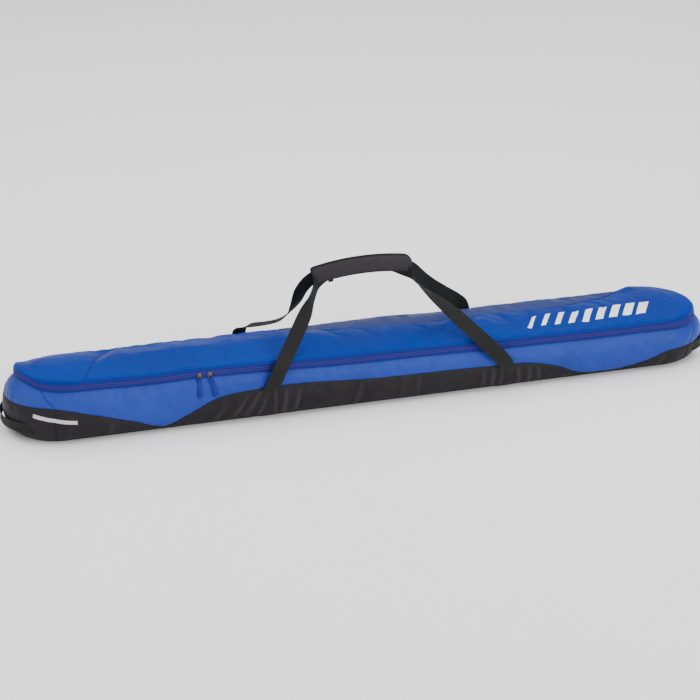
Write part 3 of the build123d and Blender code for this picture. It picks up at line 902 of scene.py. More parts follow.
# ---------------------------------------------------------------- lower bag's panels
def on_tub(flat, out):
    return tub_point(flat[:, 0], flat[:, 1], out)


def line(a, b, count=40):
    return np.linspace(a, b, count)


def seam_top(seam, to_s):
    """Where an end seam meets the zipper band, as a length round the bag and a height."""
    foot_x, foot_z, lean = seam
    x = foot_x
    for _ in range(12):
        z = float(wall_top(to_s(x)))
        x = foot_x + (z - foot_z) * lean
    return float(to_s(x)), z


def scallop_curve(s0, s1):
    s = np.linspace(s0, s1, 500)
    return np.stack([s, scallop(s)], axis=1)


def top_curve(s0, s1):
    s = np.linspace(s0, s1, 500)
    return np.stack([s, wall_top(s)], axis=1)


def skirt_curves(s0, s1):
    z0, z1 = float(scallop(s0)), float(scallop(s1))
    return [
        line((s0, BASE_TOP), (s1, BASE_TOP)), line((s1, BASE_TOP), (s1, z1)), scallop_curve(s1, s0),
        line((s0, z0), (s0, BASE_TOP)),
    ]


def wall_curves(foot0, top0, foot1, top1):
    """Outline of a blue panel between two end seams."""
    z0, z1 = float(scallop(foot0)), float(scallop(foot1))
    return [
        scallop_curve(foot0, foot1), line((foot1, z1), top1), top_curve(top1[0], top0[0]),
        line(top0, (foot0, z0)),
    ]


def build_panels():
    left_foot, right_foot = float(front_s(LEFT_SEAM[0])), float(front_s(RIGHT_SEAM[0]))
    left_rear, right_rear = float(rear_s(LEFT_SEAM[0])), float(rear_s(RIGHT_SEAM[0]))
    fronts = seam_top(LEFT_SEAM, front_s), seam_top(RIGHT_SEAM, front_s)
    rears = seam_top(LEFT_SEAM, rear_s), seam_top(RIGHT_SEAM, rear_s)
    wrapped = (rears[0][0] - AROUND, rears[0][1])
    dark = dict(slot="black_shell", body="bag_body", puff=0.002, relief=skirt_relief, spare=0.010, spacing=0.005)
    pale = dict(slot="blue_wall", body="bag_body", puff=0.003, relief=wall_relief, spare=0.012)
    ends = dict(pale, relief=end_relief)
    skirts = {
        "front_skirt": (left_foot, right_foot), "right_end_bumper": (right_foot, right_rear),
        "rear_skirt": (right_rear, left_rear), "left_end_bumper": (left_rear - AROUND, left_foot),
    }
    for name, (s0, s1) in skirts.items():
        room = dict(puff=0.0003, cap=0.0015) if "bumper" in name else {}
        fabric_sheet(name + "_fabric", skirt_curves(s0, s1), on_tub, nodes=[name], **{**dark, **room})
    fabric_sheet("front_side_panel_fabric", wall_curves(left_foot, fronts[0], right_foot, fronts[1]),
                 on_tub, nodes=["front_side_panel"], **pale)
    fabric_sheet("right_end_panel_fabric", wall_curves(right_foot, fronts[1], right_rear, rears[1]),
                 on_tub, nodes=["right_end_panel"], **ends)
    fabric_sheet("rear_side_panel_fabric", wall_curves(right_rear, rears[1], left_rear, rears[0]),
                 on_tub, nodes=["rear_side_panel"], **pale)
    fabric_sheet("left_end_panel_fabric", wall_curves(left_rear - AROUND, wrapped, left_foot, fronts[0]),
                 on_tub, nodes=["left_end_panel"], **ends)


# ---------------------------------------------------------------- lid's panels
def on_lid(flat, out):
    return lid_point(flat[:, 0], flat[:, 1], out)


def crossing(curve):
    """The part of a curve that is inside the zipper outline, with its ends on the outline."""
    curve = np.asarray(curve)
    depth = rim_depth(curve[:, 0], curve[:, 1])
    kept = np.flatnonzero(depth > 0)
    first, last = kept[0], kept[-1]

    def meet(i, j):
        t = depth[i] / (depth[i] - depth[j])
        return curve[i] + t * (curve[j] - curve[i])

    return np.concatenate([[meet(first, first - 1)], curve[first:last + 1], [meet(last, last + 1)]])


def rim_curve(start, end, count=8000):
    """The zipper outline from one of its points to another."""
    ring = np.stack(rim_xy(np.linspace(0, AROUND, count + 1)), axis=1)
    i = int(np.argmin(np.linalg.norm(ring - start, axis=1)))
    j = int(np.argmin(np.linalg.norm(ring - end, axis=1)))
    order = np.arange(i, j + 1) if j > i else np.arange(i, j + count + 1)
    picked = ring[order % count]
    return np.concatenate([[start], picked[1:-1], [end]])


def build_lid():
    cap = crossing(smooth_line(CAP_SEAM, 0.002))          # from the front to the rear
    strip = crossing(smooth_line(STRIP_SEAM, 0.002))      # from left to right, both ends at the rear
    shared = dict(body="lid", relief=lid_relief, hinge=True, thick=0.0014, pressure=2.0, spare=0.010,
                  cap=0.008, rows=(0.0010, 0.0028, 0.0058), dip=0.0012, puff=0.002)
    fabric_sheet("lid_left_cap_fabric", [cap, rim_curve(cap[-1], cap[0])], on_lid, "blue_lid",
                 nodes=["lid_left_cap"], **shared)
    fabric_sheet("lid_rear_strip_fabric", [strip, rim_curve(strip[-1], strip[0])], on_lid, "blue_lid_dull",
                 nodes=["lid_rear_strip"], **shared)
    main = [
        rim_curve(cap[0], strip[-1]), strip[::-1], rim_curve(strip[0], cap[-1]), cap[::-1],
    ]
    fabric_sheet("lid_main_panel_fabric", main, on_lid, "blue_lid", nodes=["lid_main_panel"], **shared)


# ---------------------------------------------------------------- zipper band
TIP_S = np.linspace(0, END_HALF + QUARTER, 400)
ZIP_S = float(np.interp(-ZIP_END_Y, rim_xy(TIP_S)[1][::-1], TIP_S[::-1]))   # from each tip to the zipper's end
COIL_PITCH = 0.0024
# sections of the upper half of the band: height over the zipper line, and outward
TAPE = [
    (BAND + 0.0008, -0.0016), (BAND + 0.0002, 0.0000), (BAND - 0.0014, 0.0008), (BAND - 0.0030, 0.0002),
    (COIL + 0.0016, 0.0001), (COIL + 0.0002, 0.0003), (COIL - 0.0002, -0.0008), (BAND, -0.0026),
]
BINDING = [
    (BAND + 0.0006, -0.0022), (BAND + 0.0003, 0.0004), (BAND - 0.0030, 0.0014), (0.0045, 0.0014),
    (0.0008, 0.0006), (0.0003, -0.0006), (0.0003, -0.0024),
]
END_TAB = [
    (-0.0125, 0.0), (-0.0120, 0.0026), (-0.0070, 0.0034), (-0.0016, 0.0028), (-0.0009, 0.0), (-0.0060, -0.0010),
]


def coil_section(s, side):
    """Half of the zipper's coil: its turns show as fine ribs, half a turn apart on the two sides."""
    turn = 0.5 + 0.5 * np.cos(s * 2 * math.pi / COIL_PITCH + (0 if side > 0 else math.pi))
    crest = 0.0008 + 0.0007 * turn
    return [
        (COIL - 0.0002, 0.0000), (COIL - 0.0011, crest), (0.0021, crest + 0.0002), (0.0009, crest - 0.0004),
        (0.0003, 0.0), (0.0003, -0.0014), (COIL - 0.0002, -0.0014),
    ]


def band_verts(s, points):
    """Sections set along the zipper outline."""
    z = zip_height(*rim_xy(s))
    rows = [np.stack([*rim_xy(s, out), z + height], axis=1) for height, out in points]
    return np.stack(rows, axis=1)


def band_strip(name, s, points, side, sharp=50):
    """A closed strip along the zipper outline, from a section of its upper half."""
    points = [(side * height, out) for height, out in points[::side]]
    verts = band_verts(s, points)
    heights = np.array([height for height, _ in points])
    uv = np.stack(np.broadcast_arrays(s[:, None], heights[None, :]), axis=-1)
    faces = strip_faces(len(s), len(points))
    return make_mesh(name, verts.reshape(-1, 3), faces, uv=uv.reshape(-1, 2), sharp=sharp)


def along_band(start, stop, pitch):
    return np.linspace(start, stop, int(round((stop - start) / pitch)) + 1)


def build_zipper():
    start, stop = -ZIP_S, HALF_WAY + ZIP_S
    for name, side, body in (("lower", -1, "bag_body"), ("upper", 1, "lid")):
        tape = band_strip(name + "_tape_weave", along_band(start, stop, 0.008), TAPE, side)
        finish_piece(tape, "zipper_tape", body, [name + "_zipper_tape"])
        s = along_band(start, stop, COIL_PITCH / 4)
        coil = band_strip(name + "_coil_turns", s, coil_section(s, side), side, sharp=70)
        finish_piece(coil, "zipper_coil", body, [name + "_zipper_coil"])
    for name, side, body in (("rear_seam_binding", -1, "bag_body"), ("lid_rear_binding", 1, "lid")):
        binding = band_strip(name + "_tape", along_band(stop, AROUND - ZIP_S, 0.008), BINDING, side)
        finish_piece(binding, "blue_binding", body, [name], hinge=side > 0)
    build_end_tabs(start, stop)


def build_end_tabs(start, stop):
    """A folded tab over each end of the zipper."""
    parts = []
    for middle in (start - 0.001, stop + 0.001):
        s = np.linspace(middle - 0.008, middle + 0.008, 9)
        bulge = np.sqrt(np.clip(1 - ((s - middle) / 0.0085) ** 2, 0, 1))
        points = [(height, out * (0.55 + 0.45 * bulge) + 0.0006) for height, out in END_TAB]
        verts = band_verts(s, points).reshape(-1, 3)
        parts.append((verts, turned_over(strip_faces(len(s), len(points))), verts[:, [0, 2]]))
    tabs = joined_mesh("zipper_end_tab_folds", parts)
    finish_piece(tabs, "dark_tab", "bag_body", ["zipper_end_tabs"])


# ---------------------------------------------------------------- underside
BASE_TURN = 0.28              # share of the underside, from its sewn edge, that turns up
SHEET_GAP = 0.0004            # the panel stands this much off the floor
WEB_THICK = 0.0018


def floor_middle(s, z=0.0):
    """Point of the middle line that belongs to a point of the outline."""
    return np.stack([outline_frame(s)[0] * (STRAIGHT + SIDE_IN[0] - END_IN[0]), 0 * s, 0 * s + z], axis=-1)


def base_point(s, share):
    """Point of the underside: share 0 is the sewn edge, 1 the middle line."""
    edge = tub_point(s, BASE_TOP)
    floor = tub_point(s, 0.0)
    middle = floor_middle(s)
    up = 1 - np.sin(np.clip(share / BASE_TURN, 0, 1) * math.pi / 2)
    near = floor + (edge - floor) * up[..., None] * [1, 1, 0]
    near[..., 2] = BASE_TOP * up ** 1.6
    flat = np.clip((share - BASE_TURN) / (1 - BASE_TURN), 0, 1)[..., None]
    return near + (middle - near) * flat


def build_base():
    """Reinforced underside that turns up into the skirts, and the webbing that crosses it."""
    shares = np.concatenate([np.linspace(0, BASE_TURN, 9), np.linspace(0.36, 0.99, 10)])
    s = np.linspace(0, HALF_WAY, 260)
    rows = [base_point(s, np.full(len(s), share)) for share in shares]
    grid = np.stack(rows + [row * [1, -1, 1] for row in rows[::-1]])
    verts = grid.reshape(-1, 3) + [0, 0, SHEET_GAP]
    verts, faces = thicken(verts, turned_over(grid_faces(len(grid), len(s))), 0.004)
    base = make_mesh("base_panel_fabric", verts, faces, uv=verts[:, :2])
    weld(base)
    finish_piece(base, "black_base", "bag_body", ["base_panel"])
    for name, x in (("left_under_strap", LEFT_FOOT_X), ("right_under_strap", RIGHT_FOOT_X)):
        s_here = float(front_s(x))
        front = tub_point(np.full(12, s_here), np.linspace(0.055, BASE_TOP, 12), -0.0030)
        under = base_point(np.full(14, s_here), np.linspace(0.03, 0.5, 14))
        half = np.concatenate([front[:-2], under])
        path = np.concatenate([half, half[::-1] * [1, -1, 1]])
        path[:, 0] = x
        path = resample(path, 0.005)
        path[:, 2] = np.maximum(path[:, 2], WEB_THICK / 2)
        strap = joined_mesh(name + "_webbing", [ribbon(path, ALONG_X, WEBBING, WEB_THICK)])
        finish_piece(strap, "webbing", "bag_body", [name])


# ---------------------------------------------------------------- lining and padding
QUILT = 0.12                  # width of the quilting's channels


def quilted(along):
    """0 at the quilting's seams, 1 between them."""
    return np.abs(np.sin(along * math.pi / QUILT)) ** 0.5


def wall_ring(inset, z0, below, rows=14, columns=300, quilt=0.0):
    """Rows of points round the bag between a height and the zipper band."""
    s = np.linspace(0, AROUND, columns, endpoint=False)
    top = wall_top(s) - below
    grid = []
    for share in np.linspace(0, 1, rows):
        pillow = quilt * quilted(s) * np.sin(share * math.pi).clip(0) ** 0.4
        grid.append(tub_point(s, z0 + (top - z0) * share, -inset - pillow))
    return np.stack(grid)


def ring_shell(name, outer, inner):
    """A wall between two like rings, one inside the other."""
    loop = np.concatenate([outer, inner[::-1]])
    faces = grid_faces(len(loop), loop.shape[1], closed_rows=True, closed_columns=True)
    verts = loop.reshape(-1, 3)
    return make_mesh(name, verts, faces, uv=verts[:, [0, 2]])


def half_floor(inset, z, quilt=0.0, columns=150, rows=14):
    """A floor that fills an outline, as rows from the front edge to the rear edge."""
    s = np.linspace(0, HALF_WAY, columns)
    edge = tub_point(s, z, -inset)
    middle = floor_middle(s, z)
    grid = []
    for share in np.linspace(0, 0.99, rows):
        row = edge + (middle - edge) * share
        row[:, 2] = z + quilt * quilted(row[:, 0]) * math.sin(min(1, share * 4) * 1.57)
        grid.append(row)
    return np.stack(grid + [row * [1, -1, 1] for row in grid[::-1]])


def slab(name, low, high):
    """A layer between two like grids, one over the other."""
    rows, columns = low.shape[:2]
    count = rows * columns
    top = turned_over(grid_faces(rows, columns))
    faces = [tuple(i + count for i in face) for face in top] + turned_over(top)
    edges = {(a, b) for face in top for a, b in zip(face, face[1:] + face[:1])}
    faces += [(b + count, a + count, a, b) for a, b in sorted(edges) if (b, a) not in edges]
    verts = np.concatenate([low.reshape(-1, 3), high.reshape(-1, 3)])
    layer = make_mesh(name, verts, faces, uv=verts[:, :2])
    weld(layer)
    return layer


def build_inside():
    """Foam core and lining of the lower bag."""
    core = ring_shell("wall_foam", wall_ring(0.0062, 0.010, 0.0005), wall_ring(0.0088, 0.010, 0.0005))
    finish_piece(core, "foam", "bag_body", ["wall_padding"])
    core = slab("floor_foam", half_floor(0.010, 0.0055), half_floor(0.010, 0.0095))
    finish_piece(core, "foam", "bag_body", ["floor_padding"])
    wall = ring_shell(
        "wall_lining", wall_ring(0.0087, 0.0112, -0.001, rows=18, columns=480),
        wall_ring(0.0098, 0.0112, 0.0, rows=18, columns=480, quilt=0.0035),
    )
    finish_piece(wall, "lining", "bag_body", ["inner_lining"])
    floor = slab(
        "floor_lining", half_floor(0.0105, 0.0098, columns=300),
        half_floor(0.0105, 0.0108, quilt=0.0004, columns=300),
    )
    finish_piece(floor, "lining", "bag_body")


def build_ski_straps():
    """Straps that hold the skis: a loop tape on the floor, a thick sewn end, and a hook tongue over both."""
    parts = []
    base_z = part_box("ski_strap_loops")[0].z
    for name in ("left_ski_strap", "right_ski_strap"):
        low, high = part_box(name + "_hook")
        x = (low.x + high.x) / 2
        run = np.linspace(high.y, low.y, 30)
        lift = 0.0016 * np.sin(np.linspace(0, 3 * math.pi, 30)) ** 2
        path = np.stack([0 * run + x, run, (low.z + high.z) / 2 + lift], axis=1)
        hook = joined_mesh(name + "_tongue", [ribbon(path, ALONG_X, WEBBING - 0.002, WEB_THICK)])
        finish_piece(hook, "hook_tape", name, [name + "_hook"])
        for y0, y1, height, thick in ((0.0070, -0.1030, 0.001, WEB_THICK), (0.105, 0.0975, 0.0045, 0.005)):
            run = np.linspace(y0, y1, 14)
            path = np.stack([0 * run + x, run, 0 * run + base_z + height], axis=1)
            parts.append(ribbon(path, ALONG_X, WEBBING, thick))
    finish_piece(joined_mesh("ski_strap_loop_tapes", parts), "loop_tape", "bag_body", ["ski_strap_loops"])


def build_lid_lining():
    """Quilted pad under the lid's fabric."""
    s = np.linspace(0, HALF_WAY, 300)
    middle_x = RIM_SHIFT + outline_frame(s)[0] * RIM_STRAIGHT
    x, y = rim_xy(s, -0.004)
    high = {1: [], -1: []}
    low = {1: [], -1: []}
    for share in np.linspace(0, 0.99, 16):
        px, py = x + (middle_x - x) * share, y * (1 - share)
        full = min(1, share * 6)
        quilt = 0.0035 * quilted(px) * full
        for side in (1, -1):
            top = lid_point(px, side * py, -0.0075)
            top[:, 2] = np.maximum(top[:, 2], zip_height(px, side * py) + BAND + 0.0003)
            high[side].append(top)
            low[side].append(top - np.stack([0 * px, 0 * px, 0.0032 + 0.004 * full + quilt], axis=1))
    pad = slab("lid_quilted_pad", np.stack(low[1] + low[-1][::-1]), np.stack(high[1] + high[-1][::-1]))
    finish_piece(pad, "lid_lining", "lid", ["lid_padding"], hinge=True)


# ---------------------------------------------------------------- carry handle
GRIP_LEFT = (-0.133, 0.184)
GRIP_TOP = (0.0, 0.204)
GRIP_RIGHT = (0.131, 0.196)
GRIP_HALF = 0.1345            # half length of the grip's cushions
GRIP_HEIGHT = 0.044
GRIP_THICK = 0.0135
GRIP_EDGE = 0.0042            # thickness of a cushion at its edge
TAB_AT = 0.047                # the pull tab, from the grip's left end


def over_zip(x, height):
    """Height over the straight zipper line, as a height over the floor."""
    return ZIP_Z - ZIP_FALL * x + height


def arc_through(a, b, c, count):
    """Points of the circle through three points of a plane."""
    (ax, az), (bx, bz), (cx, cz) = a, b, c
    d = 2 * (ax * (bz - cz) + bx * (cz - az) + cx * (az - bz))
    ux = ((ax**2 + az**2) * (bz - cz) + (bx**2 + bz**2) * (cz - az) + (cx**2 + cz**2) * (az - bz)) / d
    uz = ((ax**2 + az**2) * (cx - bx) + (bx**2 + bz**2) * (ax - cx) + (cx**2 + cz**2) * (bx - ax)) / d
    radius = math.hypot(ax - ux, az - uz)
    first, last = math.atan2(az - uz, ax - ux), math.atan2(cz - uz, cx - ux)
    angles = np.linspace(first, last, count)
    return np.stack([ux + radius * np.cos(angles), uz + radius * np.sin(angles)], axis=1)


def grip_frame(count):
    """Points of the grip's arc, and the directions up from them."""
    arc = arc_through(GRIP_LEFT, GRIP_TOP, GRIP_RIGHT, count)
    centre = np.stack([arc[:, 0], 0 * arc[:, 0], over_zip(arc[:, 0], arc[:, 1])], axis=1)
    along = unit(np.gradient(centre, axis=0))
    return centre, np.stack([-along[:, 2], 0 * along[:, 0], along[:, 0]], axis=1)


def grip_place(flat, out, side):
    """Places a flat pattern, along and up the grip, on the grip's arc and outward from its middle."""
    centre, up = grip_frame(121)
    steps = lengths_along(centre)
    steps -= steps[-1] / 2
    at = np.stack([np.interp(flat[:, 0], steps, column) for column in centre.T], axis=1)
    tall = np.stack([np.interp(flat[:, 0], steps, column) for column in up.T], axis=1)
    outward = np.stack([0 * flat[:, 0], side * (0.0006 + out), 0 * flat[:, 0]], axis=1)
    return at + tall * flat[:, 1:2] + outward


def grip_outline():
    """Flat outline of the grip, with a wider corner at the top right."""
    half, tall = GRIP_HALF, GRIP_HEIGHT / 2
    corners = [(-half, -tall, 0.009, 180), (half, -tall, 0.010, 270), (half, tall, 0.024, 0), (-half, tall, 0.010, 90)]
    points = []
    for x, y, radius, turn in corners:
        cx, cy = x - math.copysign(radius, x), y - math.copysign(radius, y)
        for angle in np.radians(np.linspace(turn, turn + 90, 9)):
            points.append((cx + radius * math.cos(angle), cy + radius * math.sin(angle)))
    return np.array(points + points[:1])


def grip_shape(depth):
    edge = np.clip(depth / 0.012, 0, 1)
    return GRIP_EDGE + (GRIP_THICK - GRIP_EDGE) * np.sqrt(1 - (1 - edge) ** 2)


def grip_relief(flat):
    """A sewn line across the left end, and lumps in the foam."""
    line_dip = -0.0022 * np.exp(-((flat[:, 0] + 0.1150) / 0.0016) ** 2)
    return line_dip + 0.0012 * ripple(flat, 0.035, 4.4)


def build_grip():
    """Front and rear cushions of the padded grip."""
    for half, side in (("front", -1), ("rear", 1)):
        def place(flat, out, side=side):
            return grip_place(flat, out, side)

        fabric_sheet(half + "_grip_cushion", [grip_outline()], place, "grip_fabric", half + "_handle",
                     nodes=[half + "_grip_pad"], shape=grip_shape, relief=grip_relief, back=0.0, fill=0.6,
                     spacing=0.005, flip=side > 0, pressure=1.0, cap=0.002, in_cap=0.001)


BINDING_ROUND_GRIP = [
    (0.0006, 0.0003), (0.0011, 0.0030), (0.0006, 0.0054), (-0.0030, 0.0078), (-0.0052, 0.0082), (-0.0046, 0.0020),
]


def grip_binding(side):
    """Binding tape round the edge of one half of the grip, and on the front a small pull tab under it."""
    outline = resample(grip_outline(), 0.003, keep_end=False)
    loop = grip_place(outline, np.zeros(len(outline)), side)
    outward = np.cross(ALONG_Y, loop_tangent(loop))
    rows = [loop + outward * out + np.array([0, side * depth, 0]) for out, depth in BINDING_ROUND_GRIP]
    verts = np.stack(rows, axis=1).reshape(-1, 3)
    columns = len(BINDING_ROUND_GRIP)
    faces = grid_faces(len(loop), columns, closed_rows=True, closed_columns=True)
    steps = np.repeat(np.arange(len(loop)) * 0.003, columns)
    uv = np.stack([np.tile([out for out, _ in BINDING_ROUND_GRIP], len(loop)), steps], axis=1)
    if side > 0:
        return [(verts, faces, uv)]
    drop = np.linspace(0.004, -0.007, 7) - GRIP_HEIGHT / 2
    path = grip_place(np.stack([TAB_AT - GRIP_HALF + 0 * drop, drop], axis=1), np.full(7, 0.002), side)
    tab_verts, tab_faces, tab_uv = ribbon(path, ALONG_X, 0.013, 0.003)
    if volume(tab_verts, tab_faces) * volume(verts, faces) < 0:
        tab_faces = turned_over(tab_faces)
    return [(verts, faces, uv), (tab_verts, tab_faces, tab_uv)]


def leg(rows):
    """Webbing leg from its rows: its middle line, and the directions across it at the same points."""
    rows = np.array(rows)
    points = np.stack([rows[:, 0], rows[:, 1], over_zip(rows[:, 0], rows[:, 2])], axis=1)
    path = smooth_line(points, 0.006)
    knots = lengths_along(points)
    along = lengths_along(path)
    return path, spline_at(knots, unit(rows[:, 3:]), along / along[-1] * knots[-1])


def relax(path, across, rounds=4):
    """Smooths the joint between a leg and the webbing inside the grip."""
    for _ in range(rounds):
        path[1:-1] = (path[:-2] + 2 * path[1:-1] + path[2:]) / 4
        across[1:-1] = (across[:-2] + 2 * across[1:-1] + across[2:]) / 4
    return path, across


# each row: x, y, height over the zipper line, and the direction across the webbing
LEGS = {
    "front_left": [
        (-0.2890, -0.1370, -0.064, 1, 0, 0), (-0.2860, -0.1425, -0.054, 1, 0, 0),
        (-0.2829, -0.1490, -0.0446, 1, 0, -0.1), (-0.2668, -0.1540, -0.0061, 1, 0, -0.3),
        (-0.2577, -0.1500, 0.0103, 1, 0, -0.35), (-0.2102, -0.1050, 0.0649, 1, 0, -0.4),
        (-0.1760, -0.0700, 0.1035, 1, 0.05, -0.4), (-0.1429, -0.0350, 0.1400, 0.60, 0.75, -0.4),
        (-0.1240, -0.0070, 0.1650, 0.30, 0.36, -0.85),
    ],
    "front_right": [
        (0.3500, -0.1370, -0.070, 1, 0, 0), (0.3480, -0.1425, -0.061, 1, 0, 0.05),
        (0.3445, -0.1490, -0.0515, 1, 0, 0.15), (0.3107, -0.1560, -0.0089, 1, 0, 0.35),
        (0.2692, -0.1480, 0.0338, 1, 0.05, 0.5), (0.2315, -0.1150, 0.0690, 0.9, 0.15, 0.55),
        (0.2075, -0.0900, 0.0922, 0.8, 0.40, 0.35), (0.1650, -0.0550, 0.1272, 0.52, 0.85, 0.0),
        (0.1410, -0.0280, 0.1500, 0.35, 0.80, -0.40), (0.1240, -0.0060, 0.1740, 0.10, 0.22, -0.95),
    ],
    "rear_left": [
        (-0.290, 0.1370, -0.075, 1, 0, 0), (-0.290, 0.1430, -0.064, 1, 0, 0),
        (-0.290, 0.1500, -0.050, 1, 0, 0), (-0.289, 0.1560, -0.026, 1, 0, 0),
        (-0.286, 0.1520, -0.005, 1, 0.1, 0), (-0.268, 0.1400, 0.008, 0.75, 0.65, 0),
        (-0.2317, 0.1230, 0.0165, 0.3, 0.95, -0.12), (-0.1914, 0.1000, 0.0330, 0.15, 0.96, -0.25),
        (-0.1678, 0.0780, 0.0627, 0.3, 0.85, -0.42), (-0.1599, 0.0580, 0.0930, 0.75, 0.55, -0.3),
        (-0.1528, 0.0350, 0.1354, 1, 0.15, -0.25), (-0.1359, 0.0100, 0.1730, 0.9, 0, -0.5),
    ],
    "rear_right": [
        (0.352, 0.1370, -0.075, 1, 0, 0), (0.350, 0.1430, -0.064, 1, 0, 0),
        (0.346, 0.1500, -0.050, 1, 0, 0.1), (0.333, 0.1560, -0.018, 1, 0, 0.2),
        (0.326, 0.1500, 0.004, 1, 0.05, 0.3), (0.302, 0.1280, 0.029, 0.8, 0.1, 0.6),
        (0.2571, 0.0900, 0.0655, 0.5, 0.1, 0.85), (0.1839, 0.0400, 0.1261, 0.45, 0.1, 0.9),
        (0.1306, 0.0050, 0.1812, 0.25, 0, 0.95),
    ],
}
INSIDE_GRIP = 0.0034          # the webbing lies this far from the grip's middle
HANDLE_THICK = 0.0021


def build_handles():
    """Both webbing straps, the grip's binding and its closing tapes."""
    centre, up = grip_frame(21)
    for half, side in (("front", -1), ("rear", 1)):
        middle = centre + np.array([0, side * INSIDE_GRIP, 0])
        inner = {
            "left": (middle[2:11], -up[2:11]),
            "right": (middle[10:18][::-1], side * up[10:18][::-1]),
        }
        parts = []
        for end in ("left", "right"):
            path, across = leg(LEGS[half + "_" + end])
            path = np.concatenate([path, inner[end][0]])
            across = np.concatenate([across, inner[end][1]])
            parts.append(ribbon(*relax(path, across), WEBBING, HANDLE_THICK))
        webbing = joined_mesh(half + "_handle_strap", parts)
        webbing.data.materials.append(MATERIALS["webbing"])
        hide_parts(half + "_handle_webbing")
        low, high = over_zip(0, 0.008 - FOOT_DROP), over_zip(0, 0.050 - FOOT_DROP)
        y = side * FOOT_Y
        start, end = (ZIP_FALL * low, y, low), (ZIP_FALL * high, y, high)
        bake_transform(webbing)
        binding = joined_mesh(half + "_grip_binding", grip_binding(side), sharp=60)
        finish_piece(binding, "dark_tab", half + "_handle")
    for name, half, side in (("hook", "front", -1), ("loop", "rear", 1)):
        path = centre[3:-3] + np.array([0, side * 0.0010, 0])
        strip = joined_mesh("grip_" + name + "_tape", [ribbon(path, up[3:-3], 0.028, 0.0012)])
        finish_piece(strip, name + "_tape", half + "_handle", ["grip_" + name + "_strip"])


def build_foot_stubs():
    """Sewn ends under the four feet of the carry straps."""
    parts = []
    for x, drop_front, drop_rear in ((LEFT_FOOT_X - 0.009, 0.048, 0.062), (RIGHT_FOOT_X - 0.002, 0.055, 0.062)):
        for side, drop in ((-1, drop_front), (1, drop_rear)):
            top = over_zip(x, -drop)
            s = np.full(6, float(front_s(x)))
            path = tub_point(s, np.linspace(top, top - 0.016, 6), np.linspace(0.0012, -0.004, 6))
            path[:, 0] = x
            path[:, 1] *= -side
            parts.append(ribbon(path, ALONG_X, WEBBING, 0.0024))
    finish_piece(joined_mesh("handle_foot_webbing", parts), "webbing", "bag_body", ["handle_foot_stubs"])


# ---------------------------------------------------------------- haul handles
def build_hauls():
    """Webbing loops at both ends, their sewn ends, and the tag on the left one."""
    foot_x = joints["right_haul_hinge"]["pos_m"][0]
    foot_y = haul_high.y
    tip_x = haul_high.x - 0.0012
    width = haul_high.z - haul_low.z
    arc = arc_through((foot_x, -foot_y), (tip_x, 0.0), (foot_x, foot_y), 41)
    bow = 1 - np.linspace(-1, 1, 41) ** 2
    turns = math.atan2(foot_y - END_HALF, foot_x - STRAIGHT) + np.linspace(-0.04, 0.24, 9)
    radius = BELLY_R + np.linspace(0.0052, -0.0030, 9)
    parts = []
    for name, side in (("left", -1), ("right", 1)):
        path = np.stack([side * arc[:, 0], arc[:, 1], HAUL_Z - 0.004 * bow], axis=1)
        across = np.stack([side * 0.10 * bow, 0 * bow, np.ones(41)], axis=1)
        loop = joined_mesh(name + "_haul_webbing", [ribbon(path, across, width, 0.0022)])
        finish_piece(loop, "webbing", name + "_haul", [name + "_haul_handle"])
        for end in (-1, 1):
            out_x, out_y = STRAIGHT + radius * np.cos(turns), END_HALF + radius * np.sin(turns)
            path = np.stack([side * out_x, end * out_y, np.full(9, HAUL_Z)], axis=1)
            parts.append(ribbon(path, ALONG_Z, width, 0.0036))
    finish_piece(joined_mesh("haul_handle_anchors", parts), "webbing", "bag_body", ["haul_handle_stubs"])
    low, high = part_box("left_haul_tag")
    z = np.linspace(high.z + 0.002, low.z, 8)
    path = np.stack([low.x - 0.0002 - 0.0009 * np.sin(np.linspace(0, math.pi, 8)), 0 * z, z], axis=1)
    tag = joined_mesh("left_haul_label", [ribbon(path, ALONG_Y, high.y - low.y, 0.0008)])
    finish_piece(tag, "white_label", "left_haul", ["left_haul_tag"])


# ---------------------------------------------------------------- sliders' pulls
WIRE = 0.0007                 # radius of the pull's wire ring
RING_HALF = 0.0045
RIGHT_PULL_LEAN = 0.26


def pull_line(x, hinge_y, out_y, top, low):
    """The pull's folded tape: up its back, over the ring and down its front."""
    hang = smooth_line([
        (x, hinge_y - 0.0016, top - 0.0005), (x, hinge_y - 0.0022, top - 0.012), (x, out_y - 0.0006, low + 0.012),
        (x, out_y - 0.0012, low),
    ], 0.002)
    over = smooth_line([
        (x, hinge_y + 0.0009, top - 0.006), (x, hinge_y + 0.0012, top + 0.0002), (x, hinge_y - 0.0002, top + 0.0013),
        (x, hinge_y - 0.0022, top + 0.0003), (x, hinge_y - 0.0024, top - 0.004),
    ], 0.0012)
    back, front = hang + [0, 0.0009, 0], hang - [0, 0.0009, 0]
    return np.concatenate([back[::-1][:-3], over, front[3:]])


def wire_ring(hinge, drop):
    """A rectangular wire ring with round corners."""
    corners = [(-1, 0), (1, 0), (1, -drop), (-1, -drop), (-1, 0)]
    loop = resample(np.array(corners) * [RING_HALF, 1], 0.0006, keep_end=False)
    for _ in range(6):
        loop = (np.roll(loop, 1, axis=0) + 2 * loop + np.roll(loop, -1, axis=0)) / 4
    outward = loop_tangent(loop)[:, ::-1] * [-1, 1]
    rows = []
    for angle in np.linspace(0, 2 * math.pi, 10, endpoint=False):
        flat = loop + outward * WIRE * math.cos(angle)
        rows.append(np.stack([flat[:, 0], 0 * flat[:, 0] + WIRE * math.sin(angle), flat[:, 1]], axis=1))
    verts = np.stack(rows, axis=1).reshape(-1, 3) + np.array(hinge)
    return verts, grid_faces(len(loop), 10, closed_rows=True, closed_columns=True)


